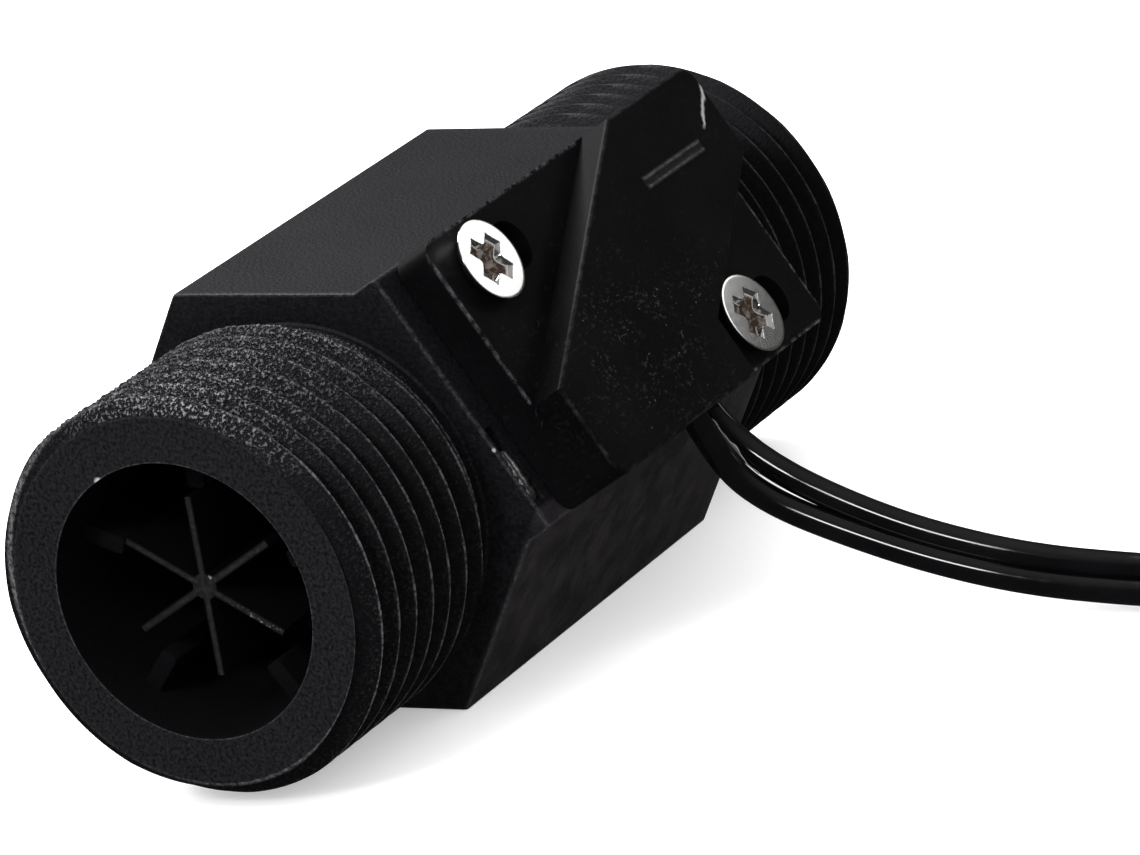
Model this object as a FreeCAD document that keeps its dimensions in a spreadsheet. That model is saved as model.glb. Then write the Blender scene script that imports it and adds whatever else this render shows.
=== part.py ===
import FreeCAD, Part
import math
import os
import re

import Sketcher

# Magnetic water flow switch: a hexagon pipe body, a sprung magnet piston in its bore and a reed switch cover.
# Millimetres. +X runs along the flow, +Z is up, the origin is the middle of the flat that the body lies on.
Vector = FreeCAD.Vector
Rotation = FreeCAD.Rotation

doc = FreeCAD.newDocument("flow_switch")
sheet = doc.addObject("Spreadsheet::Sheet", "sizes")

SIZES = (
    # Housing
    ("thread_radius", 13.22, "outside of the pipe thread, three quarter inch parallel"),
    ("thread_length", 17.0, "end face to the hexagon's shoulder"),
    ("end_ring_radius", 11.95, "flat ring at each end, inside the lead-in"),
    ("lead_in", 0.95, "length of the thread's lead-in"),
    ("relief_width", 2.2, "run-out groove beside the hexagon"),
    ("relief_radius", 11.9, "bottom of the run-out groove"),
    ("hex_across", 27.8, "across the flats"),
    ("hex_length", 33.6, "hexagon along the pipe"),
    ("pad_distance", 13.4, "pipe axis to the pad's face"),
    ("pad_width", 18.8, "pad and cover across the facet"),
    ("pad_depth", 5.0, "pad's face down to its root inside the hexagon"),
    ("bore_radius", 9.0, "water way"),
    ("mouth_chamfer", 0.4, "broken edge of both mouths"),
    ("rib_depth", 3.2, "inlet face to the start of the guide ribs"),
    ("rib_length", 9.6, "guide ribs along the bore"),
    ("rib_radius", 6.2, "inside of the guide ribs"),
    ("rib_width", 1.2, "guide rib thickness"),
    ("rib_count", 5, "guide ribs round the bore"),
    ("rib_root", 0.6, "rib sunk in the bore's wall"),
    ("seat_radius", 9.4, "counterbore that takes the retainer"),
    ("seat_place", 9.0, "middle of the body to the counterbore's shoulder"),
    ("groove_radius", 10.0, "bottom of the retaining ring's groove"),
    ("groove_width", 1.2, "retaining ring's groove"),
    ("pry_length", 5.4, "lever notch in the pad, beside the cover"),
    ("pry_width", 1.0, "lever notch along the pipe"),
    ("pry_depth", 0.6, "lever notch into the pad"),
    ("pry_edge", 0.4, "pad's near edge to the lever notch"),
    ("pry_side", 4.5, "pad's lower side to the middle of the notch"),
    # Piston
    ("fin_depth", 2.6, "inlet face to the front of the fins"),
    ("fin_radius", 5.85, "tips of the fins"),
    ("fin_thickness", 0.5, "fin thickness"),
    ("fin_count", 6, "fins round the hub"),
    ("hub_radius", 0.85, "hub of the fins"),
    ("head_gap", 0.1, "piston head to the ends of the ribs at rest"),
    ("head_radius", 8.2, "piston head"),
    ("head_thickness", 2.0, "piston head"),
    ("stem_radius", 5.0, "stem round the magnet"),
    ("magnet_web", 5.9, "solid stem between the head and the magnet"),
    ("magnet_radius", 4.0, "magnet"),
    ("magnet_length", 8.0, "magnet"),
    ("magnet_slack", 0.05, "magnet and plug in their pocket"),
    ("plug_length", 1.5, "cap's plug in the pocket"),
    ("flange_thickness", 1.2, "cap's flange, the spring's seat"),
    ("rod_radius", 1.5, "guide rod"),
    ("rod_end", 4.0, "rod past the front of the retainer's hub at rest"),
    # Spring, retainer and ring
    ("spring_radius", 3.2, "middle of the wire"),
    ("wire_radius", 0.25, "spring wire"),
    ("spring_turns", 6, "turns"),
    ("running_clearance", 0.08, "rod in the retainer's hub"),
    ("retainer_slack", 0.05, "retainer in its counterbore"),
    ("retainer_wall", 1.15, "retainer's outer ring"),
    ("retainer_depth", 4.0, "retainer's outer ring along the pipe"),
    ("retainer_hub_radius", 4.5, "hub, the spring's other seat"),
    ("retainer_hub_length", 5.0, "hub along the pipe"),
    ("arm_width", 1.8, "retainer's arms"),
    ("ring_slack", 0.1, "retaining ring in its groove, all round"),
    ("ring_height", 1.3, "retaining ring, across its section"),
    ("ring_gap", 8.0, "opening of the retaining ring"),
    # Cover and its screws
    ("cover_gap", 0.1, "cover above the pad, so that it can slide"),
    ("cover_length", 33.2, "cover along the pipe"),
    ("cover_shift", 2.0, "cover's middle past the body's middle, and half its slots' travel"),
    ("low_height", 2.65, "cover's low corners"),
    ("band_height", 5.1, "cover's raised band"),
    ("band_half_width", 5.69, "middle of the cover to the band's slanted sides"),
    ("band_angle", 29.0, "slant of the band, degrees"),
    ("band_end", 2.4, "middle of the cover to the square end of the band, past the cord"),
    ("cut_margin", 1.0, "cuts run this far past the sides of what they cut"),
    ("corner_radius", 1.2, "cover's corners"),
    ("top_rounding", 0.3, "cover's top edges"),
    ("cover_wall", 1.3, "walls and roof round the hollow"),
    ("band_end_wall", 0.4, "wall at the square end of the band"),
    ("screw_spread", 10.3, "middle of the body to each screw, along the pipe"),
    ("screw_edge", 3.15, "side of the cover to each screw"),
    ("screw_radius", 1.5, "M3 shank"),
    ("screw_slack", 0.2, "shank in the cover's slot"),
    ("screw_bite", 0.03, "shank in the housing's hole"),
    ("screw_length", 6.0, "shank under the head"),
    ("screw_tip", 0.5, "hole past the screw's end"),
    ("head_disc_radius", 2.8, "thin flat screw head"),
    ("head_disc", 0.85, "screw head thickness"),
    ("head_edge", 0.15, "broken edge of the screw head"),
    ("head_lift", 0.05, "screw head above the cover"),
    # Reed switch and its wiring, measured from the middle of the cover
    ("core_radius", 0.9, "insulated core of the cord"),
    ("core_part", 0.02, "half of the gap between the parted cores"),
    ("core_lift", 0.15, "cores above the cover's underside"),
    ("notch_slack", 0.15, "cord notch round the cores"),
    ("glass_radius", 0.85, "reed capsule"),
    ("glass_length", 10.2, "reed capsule"),
    ("glass_wall", 0.2, "reed capsule"),
    ("glass_seal", 1.5, "solid end of the capsule round each lead"),
    ("lead_radius", 0.25, "reed leads"),
    ("blade_overlap", 0.6, "half of the blades' overlap"),
    ("blade_gap", 0.06, "half of the gap between the blades"),
    ("lead_reach", 1.2, "capsule's end to the lead's turn"),
    ("lead_bend", 0.8, "turn of each lead"),
    ("lead_run", 0.1, "straight lead before its ferrule"),
    ("splice_radius", 0.55, "crimped ferrule"),
    ("splice_length", 1.6, "crimped ferrule"),
    ("sleeve_radius", 0.8, "shrunk sleeve"),
    ("conductor_radius", 0.35, "stripped conductor"),
    ("conductor_length", 0.7, "stripped conductor in the ferrule"),
    ("core_bend", 1.3, "turns of the near core"),
    ("core_run", 0.4, "straight core after its ferrule"),
    ("row_slack", 0.1, "near core's row inside the hollow's lower wall"),
    ("potting_slack", 0.05, "resin below the hollow's rim"),
    # Cord past the cover
    ("cord_radius", 1.275, "round cord with the section of both cores"),
    ("cord_lift", 0.3, "cord's middle above the cores' middle at the exit"),
    ("cord_run", 3.0, "cord straight out of its notch"),
    ("coil_x", 21.3, "middle of the coil"),
    ("coil_y", -65.0, "middle of the coil"),
    ("coil_start", 19.6, "middle of the coil to where the cord joins it"),
    ("coil_inner", 14.3, "coil"),
    ("coil_outer", 20.6, "coil"),
    ("coil_height", 3.7, "coil, two cores on edge"),
    ("tie_thickness", 0.6, "tie band"),
    ("tie_width", 2.6, "tie band"),
    ("tie_slack", 0.1, "tie round the coil"),
    ("tie_head", 1.6, "tie's catch"),
    ("end_bend", 9.0, "last curl of the cord, inside the coil"),
    ("end_radius", 15.3, "radius where the last curl leaves the coil"),
    ("end_turn", 85.0, "last curl, degrees"),
    ("tail_length", 6.0, "tinned conductor ends"),
)
NAMES = {alias for alias, number, words in SIZES}
for row, (alias, number, words) in enumerate(SIZES, start=1):
    sheet.set(f"A{row}", words)
    sheet.set(f"B{row}", str(number))
    sheet.setAlias(f"B{row}", alias)
doc.recompute()

# The pad stands on the facet that is turned 60 degrees from the top one
FACET = 60.0
ALONG_X = Rotation(Vector(0, 1, 0), 90)
TILT = Rotation(Vector(1, 0, 0), FACET)

# Places along the pipe, as expressions of the sizes
INLET = "(- hex_length / 2 - thread_length)"
HEAD = f"({INLET} + rib_depth + rib_length + head_gap)"
MAGNET = f"({HEAD} + head_thickness + magnet_web)"
STEM_END = f"({MAGNET} + magnet_length + plug_length)"
SPRING_START = f"({STEM_END} + flange_thickness)"
GROOVE = "(seat_place + retainer_depth + ring_slack)"
# Each screw up or down the facet
SCREW_ACROSS = "(pad_width / 2 - screw_edge)"
# Heights above the pipe axis, square to the pad
COVER_FLOOR = "(pad_distance + cover_gap)"
LOW_TOP = f"({COVER_FLOOR} + low_height)"
BAND_TOP = f"({COVER_FLOOR} + band_height)"
WIRES = f"({COVER_FLOOR} + core_lift + core_radius)"


def size(alias):
    """The number in a cell of the sheet."""
    return float(sheet.get(alias))


def bound(text):
    """The expression with each size's name tied to the sheet."""
    return re.sub(r"[a-z_]+", lambda word: "sizes." + word[0] if word[0] in NAMES else word[0], text)


def bind(item, **properties):
    """Ties properties to expressions; two underscores stand for a dot."""
    for name, text in properties.items():
        item.setExpression(name.replace("__", "."), bound(text))


def new_body(label, tilted=False, along="0", across="0"):
    """A body on the pipe axis, or one on the pad's side: X along the pipe, Y up the facet, Z out of it."""
    body = doc.addObject("PartDesign::Body", label)
    if tilted:
        body.Placement = FreeCAD.Placement(Vector(), TILT)
    bind(
        body,
        Placement__Base__x=along,
        Placement__Base__y=f"({across}) * cos({FACET} deg)",
        Placement__Base__z=f"hex_across / 2 + ({across}) * sin({FACET} deg)",
    )
    return body


def origin_feature(body, role):
    return next(item for item in body.Origin.OriginFeatures if item.Role == role)


def new_sketch(body, role, lift="0", turn=0.0):
    """A sketch on an origin plane of its body, lifted along the plane's normal and turned about it."""
    item = body.newObject("Sketcher::SketchObject", body.Name + "_sketch")
    item.AttachmentSupport = [(origin_feature(body, role), "")]
    item.MapMode = "FlatFace"
    item.AttachmentOffset = FreeCAD.Placement(Vector(), Rotation(Vector(0, 0, 1), turn))
    bind(item, AttachmentOffset__Base__z=lift)
    return item


def hold(item, geometry, point, across, up):
    """Ties one point of a sketch to two expressions."""
    for kind, axis, text in (("DistanceX", -2, across), ("DistanceY", -1, up)):
        if text == "0":
            item.addConstraint(Sketcher.Constraint("PointOnObject", geometry, point, axis))
            continue
        index = item.addConstraint(Sketcher.Constraint(kind, -1, 1, geometry, point, 1.0))
        item.setExpression(f"Constraints[{index}]", bound(text))


def outline(item, corners):
    """A closed outline of straight lines through corners given as pairs of expressions."""
    count = len(corners)
    ring = [Vector(math.cos(2 * math.pi * k / count), math.sin(2 * math.pi * k / count)) for k in range(count)]
    first = item.GeometryCount
    for k in range(count):
        item.addGeometry(Part.LineSegment(ring[k], ring[(k + 1) % count]))
    for k in range(count):
        item.addConstraint(Sketcher.Constraint("Coincident", first + k, 2, first + (k + 1) % count, 1))
        hold(item, first + k, 1, *corners[k])


def circle(item, across, up, radius):
    """A circle whose centre and radius are expressions."""
    geometry = item.addGeometry(Part.Circle(Vector(1, 1), Vector(0, 0, 1), 1.0))
    hold(item, geometry, 3, across, up)
    index = item.addConstraint(Sketcher.Constraint("Radius", geometry, 1.0))
    item.setExpression(f"Constraints[{index}]", bound(radius))


def rectangle(item, left, right, low, high):
    outline(item, [(left, low), (right, low), (right, high), (left, high)])


def feature(body, kind, sketch, **properties):
    """A sketch based feature of a body."""
    item = body.newObject("PartDesign::" + kind, f"{body.Name}_{kind.lower()}")
    item.Profile = sketch
    bind(item, **properties)
    return item


def turned(body, corners, kind="Revolution"):
    """An outline in the XZ plane, turned about the X axis."""
    sketch = new_sketch(body, "XZ_Plane")
    outline(sketch, corners)
    item = feature(body, kind, sketch)
    item.ReferenceAxis = (sketch, ["H_Axis"])
    return item


def repeated(body, original, count):
    """The same feature evenly spaced about the pipe axis."""
    item = body.newObject("PartDesign::PolarPattern", body.Name + "_pattern")
    item.Originals = [original]
    item.Axis = (origin_feature(body, "X_Axis"), [""])
    item.Angle = 360
    bind(item, Occurrences=count)
    body.Tip = item
    return item


def edges_where(item, test):
    """Names of the edges of a feature whose middle passes a test."""
    named = enumerate(item.Shape.Edges, start=1)
    return [f"Edge{k}" for k, edge in named if test(edge.CenterOfMass)]


def near(first, second):
    return abs(first - second) < 1e-4


def round_bar(label, radius, start, length):
    """A cylinder along the pipe axis."""
    item = doc.addObject("Part::Cylinder", label)
    item.Placement = FreeCAD.Placement(Vector(), ALONG_X)
    bind(item, Radius=radius, Height=length, Placement__Base__x=start, Placement__Base__z="hex_across / 2")
    return item


def combine(label, kind, base, tool):
    item = doc.addObject("Part::" + kind, label)
    item.Base = base
    item.Tool = tool
    return item


def bent_wire(points, bend=None):
    """Straight runs joined by tangent arcs, each as large as its runs allow unless a bend is given."""
    edges = []
    last = points[0]
    radii = []
    for before, corner, after in zip(points, points[1:], points[2:]):
        back = before - corner
        on = after - corner
        half_turn = (math.pi - back.getAngle(on)) / 2
        cut = 0.45 * min(back.Length, on.Length) if bend is None else bend * math.tan(half_turn)
        radius = cut / math.tan(half_turn)
        back.normalize()
        on.normalize()
        start = corner + back * cut
        end = corner + on * cut
        inward = (back + on).normalize()
        middle = corner + inward * (radius / math.cos(half_turn) - radius)
        edges.append(Part.LineSegment(last, start).toShape())
        edges.append(Part.Arc(start, middle, end).toShape())
        radii.append(radius)
        last = end
    edges.append(Part.LineSegment(last, points[-1]).toShape())
    return Part.Wire(edges), radii


def tube(wire, radius):
    """A round solid along a wire."""
    start = wire.Edges[0]
    disc = Part.Wire(Part.Circle(start.valueAt(0), start.tangentAt(0), radius).toShape())
    solid = wire.makePipeShell([disc], True, False).Solids[0]
    if solid.Volume < 0:
        solid.reverse()
    return solid


def shaped(label, shape):
    """A piece whose solid is made directly, for bent wires and the coil."""
    item = doc.addObject("Part::Feature", label)
    item.Shape = shape
    return item


def facet_point(along, across, out):
    """A point given along the pipe, up the facet and out of it, in the part's frame."""
    return TILT.multVec(Vector(along, across, out)) + Vector(0, 0, size("hex_across") / 2)


# Housing: the hexagon and its wide pad, then the two threaded ends with their lead-in and run-out groove
housing = new_body("housing")
side = f"hex_across / (2 * tan({FACET} deg))"
flat = "hex_across / 2"
corner = f"hex_across / (2 * sin({FACET} deg))"
hexagon = new_sketch(housing, "YZ_Plane", lift="- hex_length / 2")
outline(
    hexagon,
    [(side, flat), (f"- {side}", flat), (f"- {corner}", "0"),
     (f"- {side}", f"- {flat}"), (side, f"- {flat}"), (corner, "0")],
)
feature(housing, "Pad", hexagon, Length="hex_length")
pad_section = new_sketch(housing, "YZ_Plane", lift="- hex_length / 2", turn=FACET)
rectangle(pad_section, "- pad_width / 2", "pad_width / 2", "pad_distance - pad_depth", "pad_distance")
feature(housing, "Pad", pad_section, Length="hex_length")
# The pad's face lies a little lower than the facet, which is cut away over it
pad_face = {
    "AttachmentOffset__Base__y": f"- pad_distance * sin({FACET} deg)",
    "AttachmentOffset__Base__z": f"pad_distance * cos({FACET} deg)",
}
facing = new_sketch(housing, "XY_Plane")
facing.AttachmentOffset = FreeCAD.Placement(Vector(), TILT)
bind(facing, **pad_face)
rectangle(
    facing,
    "- hex_length / 2 - cut_margin",
    "hex_length / 2 + cut_margin",
    "- pad_width / 2 - cut_margin",
    "pad_width / 2 + cut_margin",
)
pocket = feature(housing, "Pocket", facing, Length="hex_across / 2")
pocket.Reversed = True
half = "(hex_length / 2 + thread_length)"
shoulder = "(hex_length / 2 + relief_width)"
turned(
    housing,
    [
        (f"- {half}", "0"),
        (f"- {half}", "end_ring_radius"),
        (f"lead_in - {half}", "thread_radius"),
        (f"- {shoulder}", "thread_radius"),
        (f"- {shoulder}", "relief_radius"),
        (shoulder, "relief_radius"),
        (shoulder, "thread_radius"),
        (f"{half} - lead_in", "thread_radius"),
        (half, "end_ring_radius"),
        (half, "0"),
    ],
)
# The water way: a plain bore from the inlet, a counterbore from the outlet with a groove for the retaining ring
turned(
    housing,
    [
        (f"- {half}", "0"),
        (f"- {half}", "bore_radius + mouth_chamfer"),
        (f"mouth_chamfer - {half}", "bore_radius"),
        ("seat_place", "bore_radius"),
        ("seat_place", "seat_radius"),
        (GROOVE, "seat_radius"),
        (GROOVE, "groove_radius"),
        (f"{GROOVE} + groove_width", "groove_radius"),
        (f"{GROOVE} + groove_width", "seat_radius"),
        (f"{half} - mouth_chamfer", "seat_radius"),
        (half, "seat_radius + mouth_chamfer"),
        (half, "0"),
    ],
    kind="Groove",
)
# Five ribs in the inlet guide the piston's fins, and their ends stop its head
RIB_TURN = 21.0
rib_section = new_sketch(housing, "YZ_Plane", lift=f"{INLET} + rib_depth", turn=RIB_TURN)
rectangle(rib_section, "rib_radius", "bore_radius + rib_root", "- rib_width / 2", "rib_width / 2")
rib = feature(housing, "Pad", rib_section, Length="rib_length")
repeated(housing, rib, "rib_count")
# Two screw holes and a lever notch in the pad
holes = new_sketch(housing, "XY_Plane")
holes.AttachmentOffset = FreeCAD.Placement(Vector(), TILT)
bind(holes, **pad_face)
for sign in ("", "- "):
    circle(holes, f"- {sign}screw_spread", f"{sign}{SCREW_ACROSS}", "screw_radius + screw_bite")
hole_depth = f"pad_distance - {LOW_TOP} - head_lift + screw_length + screw_tip"
feature(housing, "Pocket", holes, Length=hole_depth)
pry = new_sketch(housing, "XY_Plane")
pry.AttachmentOffset = FreeCAD.Placement(Vector(), TILT)
bind(pry, **pad_face)
rectangle(
    pry,
    "pry_edge - hex_length / 2",
    "pry_edge + pry_width - hex_length / 2",
    "pry_side - pad_width / 2 - pry_length / 2",
    "pry_side - pad_width / 2 + pry_length / 2",
)
feature(housing, "Pocket", pry, Length="pry_depth")

# Piston: fins on a hub in front of the head, and a hollow stem behind it for the magnet
piston = new_body("piston")
fin_front = f"({INLET} + fin_depth)"
turned(
    piston,
    [
        (fin_front, "0"),
        (fin_front, "hub_radius"),
        (HEAD, "hub_radius"),
        (HEAD, "head_radius"),
        (f"{HEAD} + head_thickness", "head_radius"),
        (f"{HEAD} + head_thickness", "stem_radius"),
        (STEM_END, "stem_radius"),
        (STEM_END, "magnet_radius + magnet_slack"),
        (MAGNET, "magnet_radius + magnet_slack"),
        (MAGNET, "0"),
    ],
)
fin_section = new_sketch(piston, "YZ_Plane", lift=fin_front)
rectangle(fin_section, "- fin_thickness / 2", "fin_thickness / 2", "0", "fin_radius")
fin = feature(piston, "Pad", fin_section, Length=f"{HEAD} - {fin_front}")
repeated(piston, fin, "fin_count")

round_bar("piston_magnet", "magnet_radius", MAGNET, "magnet_length")

# Cap: a plug in the magnet's pocket, a flange that the spring pushes on, and the guide rod
piston_cap = new_body("piston_cap")
turned(
    piston_cap,
    [
        (f"{STEM_END} - plug_length", "0"),
        (f"{STEM_END} - plug_length", "magnet_radius"),
        (STEM_END, "magnet_radius"),
        (STEM_END, "stem_radius"),
        (SPRING_START, "stem_radius"),
        (SPRING_START, "rod_radius"),
        ("seat_place + rod_end", "rod_radius"),
        ("seat_place + rod_end", "0"),
    ],
)

# Return spring: a helix of round wire between the cap's flange and the retainer's hub
return_spring = new_body("return_spring")
wire_section = new_sketch(return_spring, "XZ_Plane")
circle(wire_section, f"{SPRING_START} + wire_radius", "spring_radius", "wire_radius")
helix = feature(return_spring, "AdditiveHelix", wire_section)
helix.ReferenceAxis = (wire_section, ["H_Axis"])
helix.Mode = "height-turns-angle"
bind(helix, Height=f"seat_place - {SPRING_START} - 2 * wire_radius", Turns="spring_turns")

# Retainer: ring, hub and three arms, seated on the counterbore's shoulder
ring_outer = round_bar("retainer_rim", "seat_radius - retainer_slack", "seat_place", "retainer_depth")
ring_inner = round_bar("retainer_way", "seat_radius - retainer_slack - retainer_wall", "seat_place", "retainer_depth")
hub_outer = round_bar("retainer_hub", "retainer_hub_radius", "seat_place", "retainer_hub_length")
hub_bore = round_bar("retainer_bore", "rod_radius + running_clearance", "seat_place", "retainer_hub_length")
arms = []
ARM_COUNT = 3
for k in range(ARM_COUNT):
    arm = doc.addObject("Part::Box", f"retainer_arm_{k + 1}")
    turn = Rotation(Vector(1, 0, 0), k * 360 / ARM_COUNT)
    arm.Placement = FreeCAD.Placement(Vector(), turn)
    # The box starts at its own corner, so it is moved back by half its width
    aside = turn.multVec(Vector(0, -0.5, 0))
    bind(
        arm,
        Length="retainer_depth",
        Width="arm_width",
        Height="seat_radius - retainer_slack - retainer_wall / 2",
        Placement__Base__x="seat_place",
        Placement__Base__y=f"{aside.y:.6f} * arm_width",
        Placement__Base__z=f"hex_across / 2 + {aside.z:.6f} * arm_width",
    )
    arms.append(arm)
spokes = doc.addObject("Part::MultiFuse", "retainer_spokes")
spokes.Shapes = [combine("retainer_ring", "Cut", ring_outer, ring_inner), hub_outer] + arms
combine("outlet_retainer", "Cut", spokes, hub_bore)

# Retaining ring: an open ring sprung into its groove behind the retainer
ring_place = f"{GROOVE} + ring_slack"
ring_thickness = "groove_width - 2 * ring_slack"
ring_rim = round_bar("snap_rim", "groove_radius - ring_slack", ring_place, ring_thickness)
ring_hole = round_bar("snap_hole", "groove_radius - ring_slack - ring_height", ring_place, ring_thickness)
ring_mouth = doc.addObject("Part::Box", "snap_mouth")
bind(
    ring_mouth,
    Length=ring_thickness,
    Width="ring_gap",
    Height="groove_radius",
    Placement__Base__x=ring_place,
    Placement__Base__y="- ring_gap / 2",
    Placement__Base__z="hex_across / 2",
)
combine("retaining_ring", "Cut", combine("snap_ring", "Cut", ring_rim, ring_hole), ring_mouth)

# Cover: a plate with two low corners and a band between them that slants across it, hollow from below
cover = new_body("cover", tilted=True, along="cover_shift")
half_length = "cover_length / 2"
half_width = "pad_width / 2"
sine = "sin(band_angle * 1 deg)"
cosine = "cos(band_angle * 1 deg)"


plate = new_sketch(cover, "XY_Plane", lift=COVER_FLOOR)
rectangle(plate, f"- {half_length}", half_length, f"- {half_width}", half_width)
feature(cover, "Pad", plate, Length="band_height")
# The two low corners are cut from the top, outlines run past the plate's sides
past_end = "(cover_length / 2 + cut_margin)"
past_side = "(pad_width / 2 + cut_margin)"
near_corner = [
    (f"({past_side} * {cosine} - band_half_width) / {sine}", past_side),
    (f"- {past_end}", past_side),
    (f"- {past_end}", f"(band_half_width - {past_end} * {sine}) / {cosine}"),
]
far_corner = [
    (past_end, f"({past_end} * {sine} - band_half_width) / {cosine}"),
    ("band_end", f"(band_end * {sine} - band_half_width) / {cosine}"),
    ("band_end", f"- {past_side}"),
    (past_end, f"- {past_side}"),
]
for low_corner in (near_corner, far_corner):
    step = new_sketch(cover, "XY_Plane", lift=BAND_TOP)
    outline(step, low_corner)
    feature(cover, "Pocket", step, Length="band_height - low_height")
# The hollow keeps a wall inside the band's sides and its square end
reach = "(cover_length / 2 - cover_wall)"
width = "(pad_width / 2 - cover_wall)"
slant = "(band_half_width - cover_wall)"
hollow_end = "(band_end - band_end_wall)"
hollow_corners = [
    (f"({width} * {cosine} - {slant}) / {sine}", width),
    (reach, width),
    (reach, f"({reach} * {sine} - {slant}) / {cosine}"),
    (hollow_end, f"({hollow_end} * {sine} - {slant}) / {cosine}"),
    (hollow_end, f"- {width}"),
    (f"- {reach}", f"- {width}"),
    (f"- {reach}", f"({slant} - {reach} * {sine}) / {cosine}"),
]
hollow = new_sketch(cover, "XY_Plane", lift=COVER_FLOOR)
outline(hollow, hollow_corners)
pocket = feature(cover, "Pocket", hollow, Length="band_height - cover_wall")
pocket.Reversed = True
# A notch under the lower wall lets the cord out
notch = new_sketch(cover, "XY_Plane", lift=COVER_FLOOR)
notch_half = "2 * core_radius + notch_slack"
rectangle(notch, f"- ({notch_half})", notch_half, f"- {half_width}", f"cover_wall - {half_width}")
pocket = feature(cover, "Pocket", notch, Length="core_lift + 2 * core_radius + notch_slack")
pocket.Reversed = True


def long_hole(item, sign):
    """A slot along the pipe, as long as the cover's travel, round one screw."""
    reach = size("cover_shift")
    radius = size("screw_radius") + size("screw_slack")
    middle = Vector(-sign * size("screw_spread"), sign * (size("pad_width") / 2 - size("screw_edge")))
    ends = [middle + Vector(reach, 0), middle - Vector(reach, 0)]
    first = item.GeometryCount
    facing = Vector(0, 0, 1)
    for end, start_angle in zip(ends, (-math.pi / 2, math.pi / 2)):
        item.addGeometry(Part.ArcOfCircle(Part.Circle(end, facing, radius), start_angle, start_angle + math.pi))
    up = Vector(0, radius)
    item.addGeometry(Part.LineSegment(ends[0] + up, ends[1] + up))
    item.addGeometry(Part.LineSegment(ends[1] - up, ends[0] - up))
    for arc, arc_end, line, line_end in ((0, 2, 2, 1), (1, 1, 2, 2), (1, 2, 3, 1), (0, 1, 3, 2)):
        item.addConstraint(Sketcher.Constraint("Tangent", first + arc, arc_end, first + line, line_end))
    word = "" if sign > 0 else "- "
    for arc, offset in ((0, "+"), (1, "-")):
        hold(item, first + arc, 3, f"- {word}screw_spread {offset} cover_shift", f"{word}{SCREW_ACROSS}")
    for arc in (0, 1):
        index = item.addConstraint(Sketcher.Constraint("Radius", first + arc, radius))
        item.setExpression(f"Constraints[{index}]", bound("screw_radius + screw_slack"))


slots = new_sketch(cover, "XY_Plane", lift=LOW_TOP)
for sign in (1, -1):
    long_hole(slots, sign)
feature(cover, "Pocket", slots, Length="low_height + cut_margin")
doc.recompute()
# Rounded corners, then softened top edges
wide = size("pad_width") / 2
long = size("cover_length") / 2
slotted = cover.Tip
corners = cover.newObject("PartDesign::Fillet", "cover_corners")
corners.Base = (
    slotted,
    edges_where(slotted, lambda point: near(abs(point.x), long) and near(abs(point.y), wide)),
)
bind(corners, Radius="corner_radius")
doc.recompute()
top = size("pad_distance") + size("cover_gap") + size("band_height")
rim = cover.newObject("PartDesign::Fillet", "cover_rim")
rim.Base = (corners, edges_where(corners, lambda point: near(point.z, top)))
bind(rim, Radius="top_rounding")
cover.Tip = rim

# Screws: thin flat heads on the cover's low corners, shanks through the slots into the pad
for label, sign in (("cover_screw_near", ""), ("cover_screw_far", "- ")):
    screw = new_body(label, tilted=True, along=f"- {sign}screw_spread", across=f"{sign}{SCREW_ACROSS}")
    profile = new_sketch(screw, "XZ_Plane")
    seat = f"({LOW_TOP} + head_lift)"
    outline(
        profile,
        [
            ("0", f"{seat} - screw_length"),
            ("screw_radius", f"{seat} - screw_length"),
            ("screw_radius", seat),
            ("head_disc_radius", seat),
            ("head_disc_radius", f"{seat} + head_disc - head_edge"),
            ("head_disc_radius - head_edge", f"{seat} + head_disc"),
            ("0", f"{seat} + head_disc"),
        ],
    )
    spin = feature(screw, "Revolution", profile)
    spin.ReferenceAxis = (profile, ["V_Axis"])

# Reed switch: two leads whose blades overlap in the middle of a glass capsule, all in the plane of the cores
shift = size("cover_shift")
level = size("pad_distance") + size("cover_gap") + size("core_lift") + size("core_radius")
core_lane = size("core_radius") + size("core_part")
glass_middle = shift + core_lane - size("lead_reach") - size("glass_length") / 2
core_row = size("cover_wall") + size("row_slack") + size("core_radius") - size("pad_width") / 2
splice_foot = core_row + size("core_bend") + size("core_run")
splice_top = splice_foot + size("splice_length")
reed_row = splice_top + size("lead_run") + size("lead_bend")
lead_radius = size("lead_radius")
blade_offset = lead_radius + size("blade_gap")
lead_tip = splice_foot + size("conductor_length")


def along_facet(radius, length, along, across, out, direction):
    """A cylinder on the pad's side, from a point along a direction in the facet."""
    start = facet_point(along, across, out)
    return Part.makeCylinder(radius, length, start, TILT.multVec(direction))


lead_solids = {}
for label, sign in (("near", -1), ("far", 1)):
    end = glass_middle + sign * (size("glass_length") / 2 + size("lead_reach"))
    blade = glass_middle - sign * size("blade_overlap")
    route = [
        facet_point(blade, reed_row, level + sign * blade_offset),
        facet_point(glass_middle + sign * (size("glass_length") / 2 - size("glass_seal")), reed_row, level),
    ]
    straight = tube(Part.Wire(Part.LineSegment(*route).toShape()), lead_radius)
    turn_wire, radii = bent_wire(
        [route[1], facet_point(end, reed_row, level), facet_point(end, lead_tip, level)], size("lead_bend")
    )
    lead_solids[label] = straight.fuse(tube(turn_wire, lead_radius)).removeSplitter()
    shaped(f"reed_lead_{label}", lead_solids[label])

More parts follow.
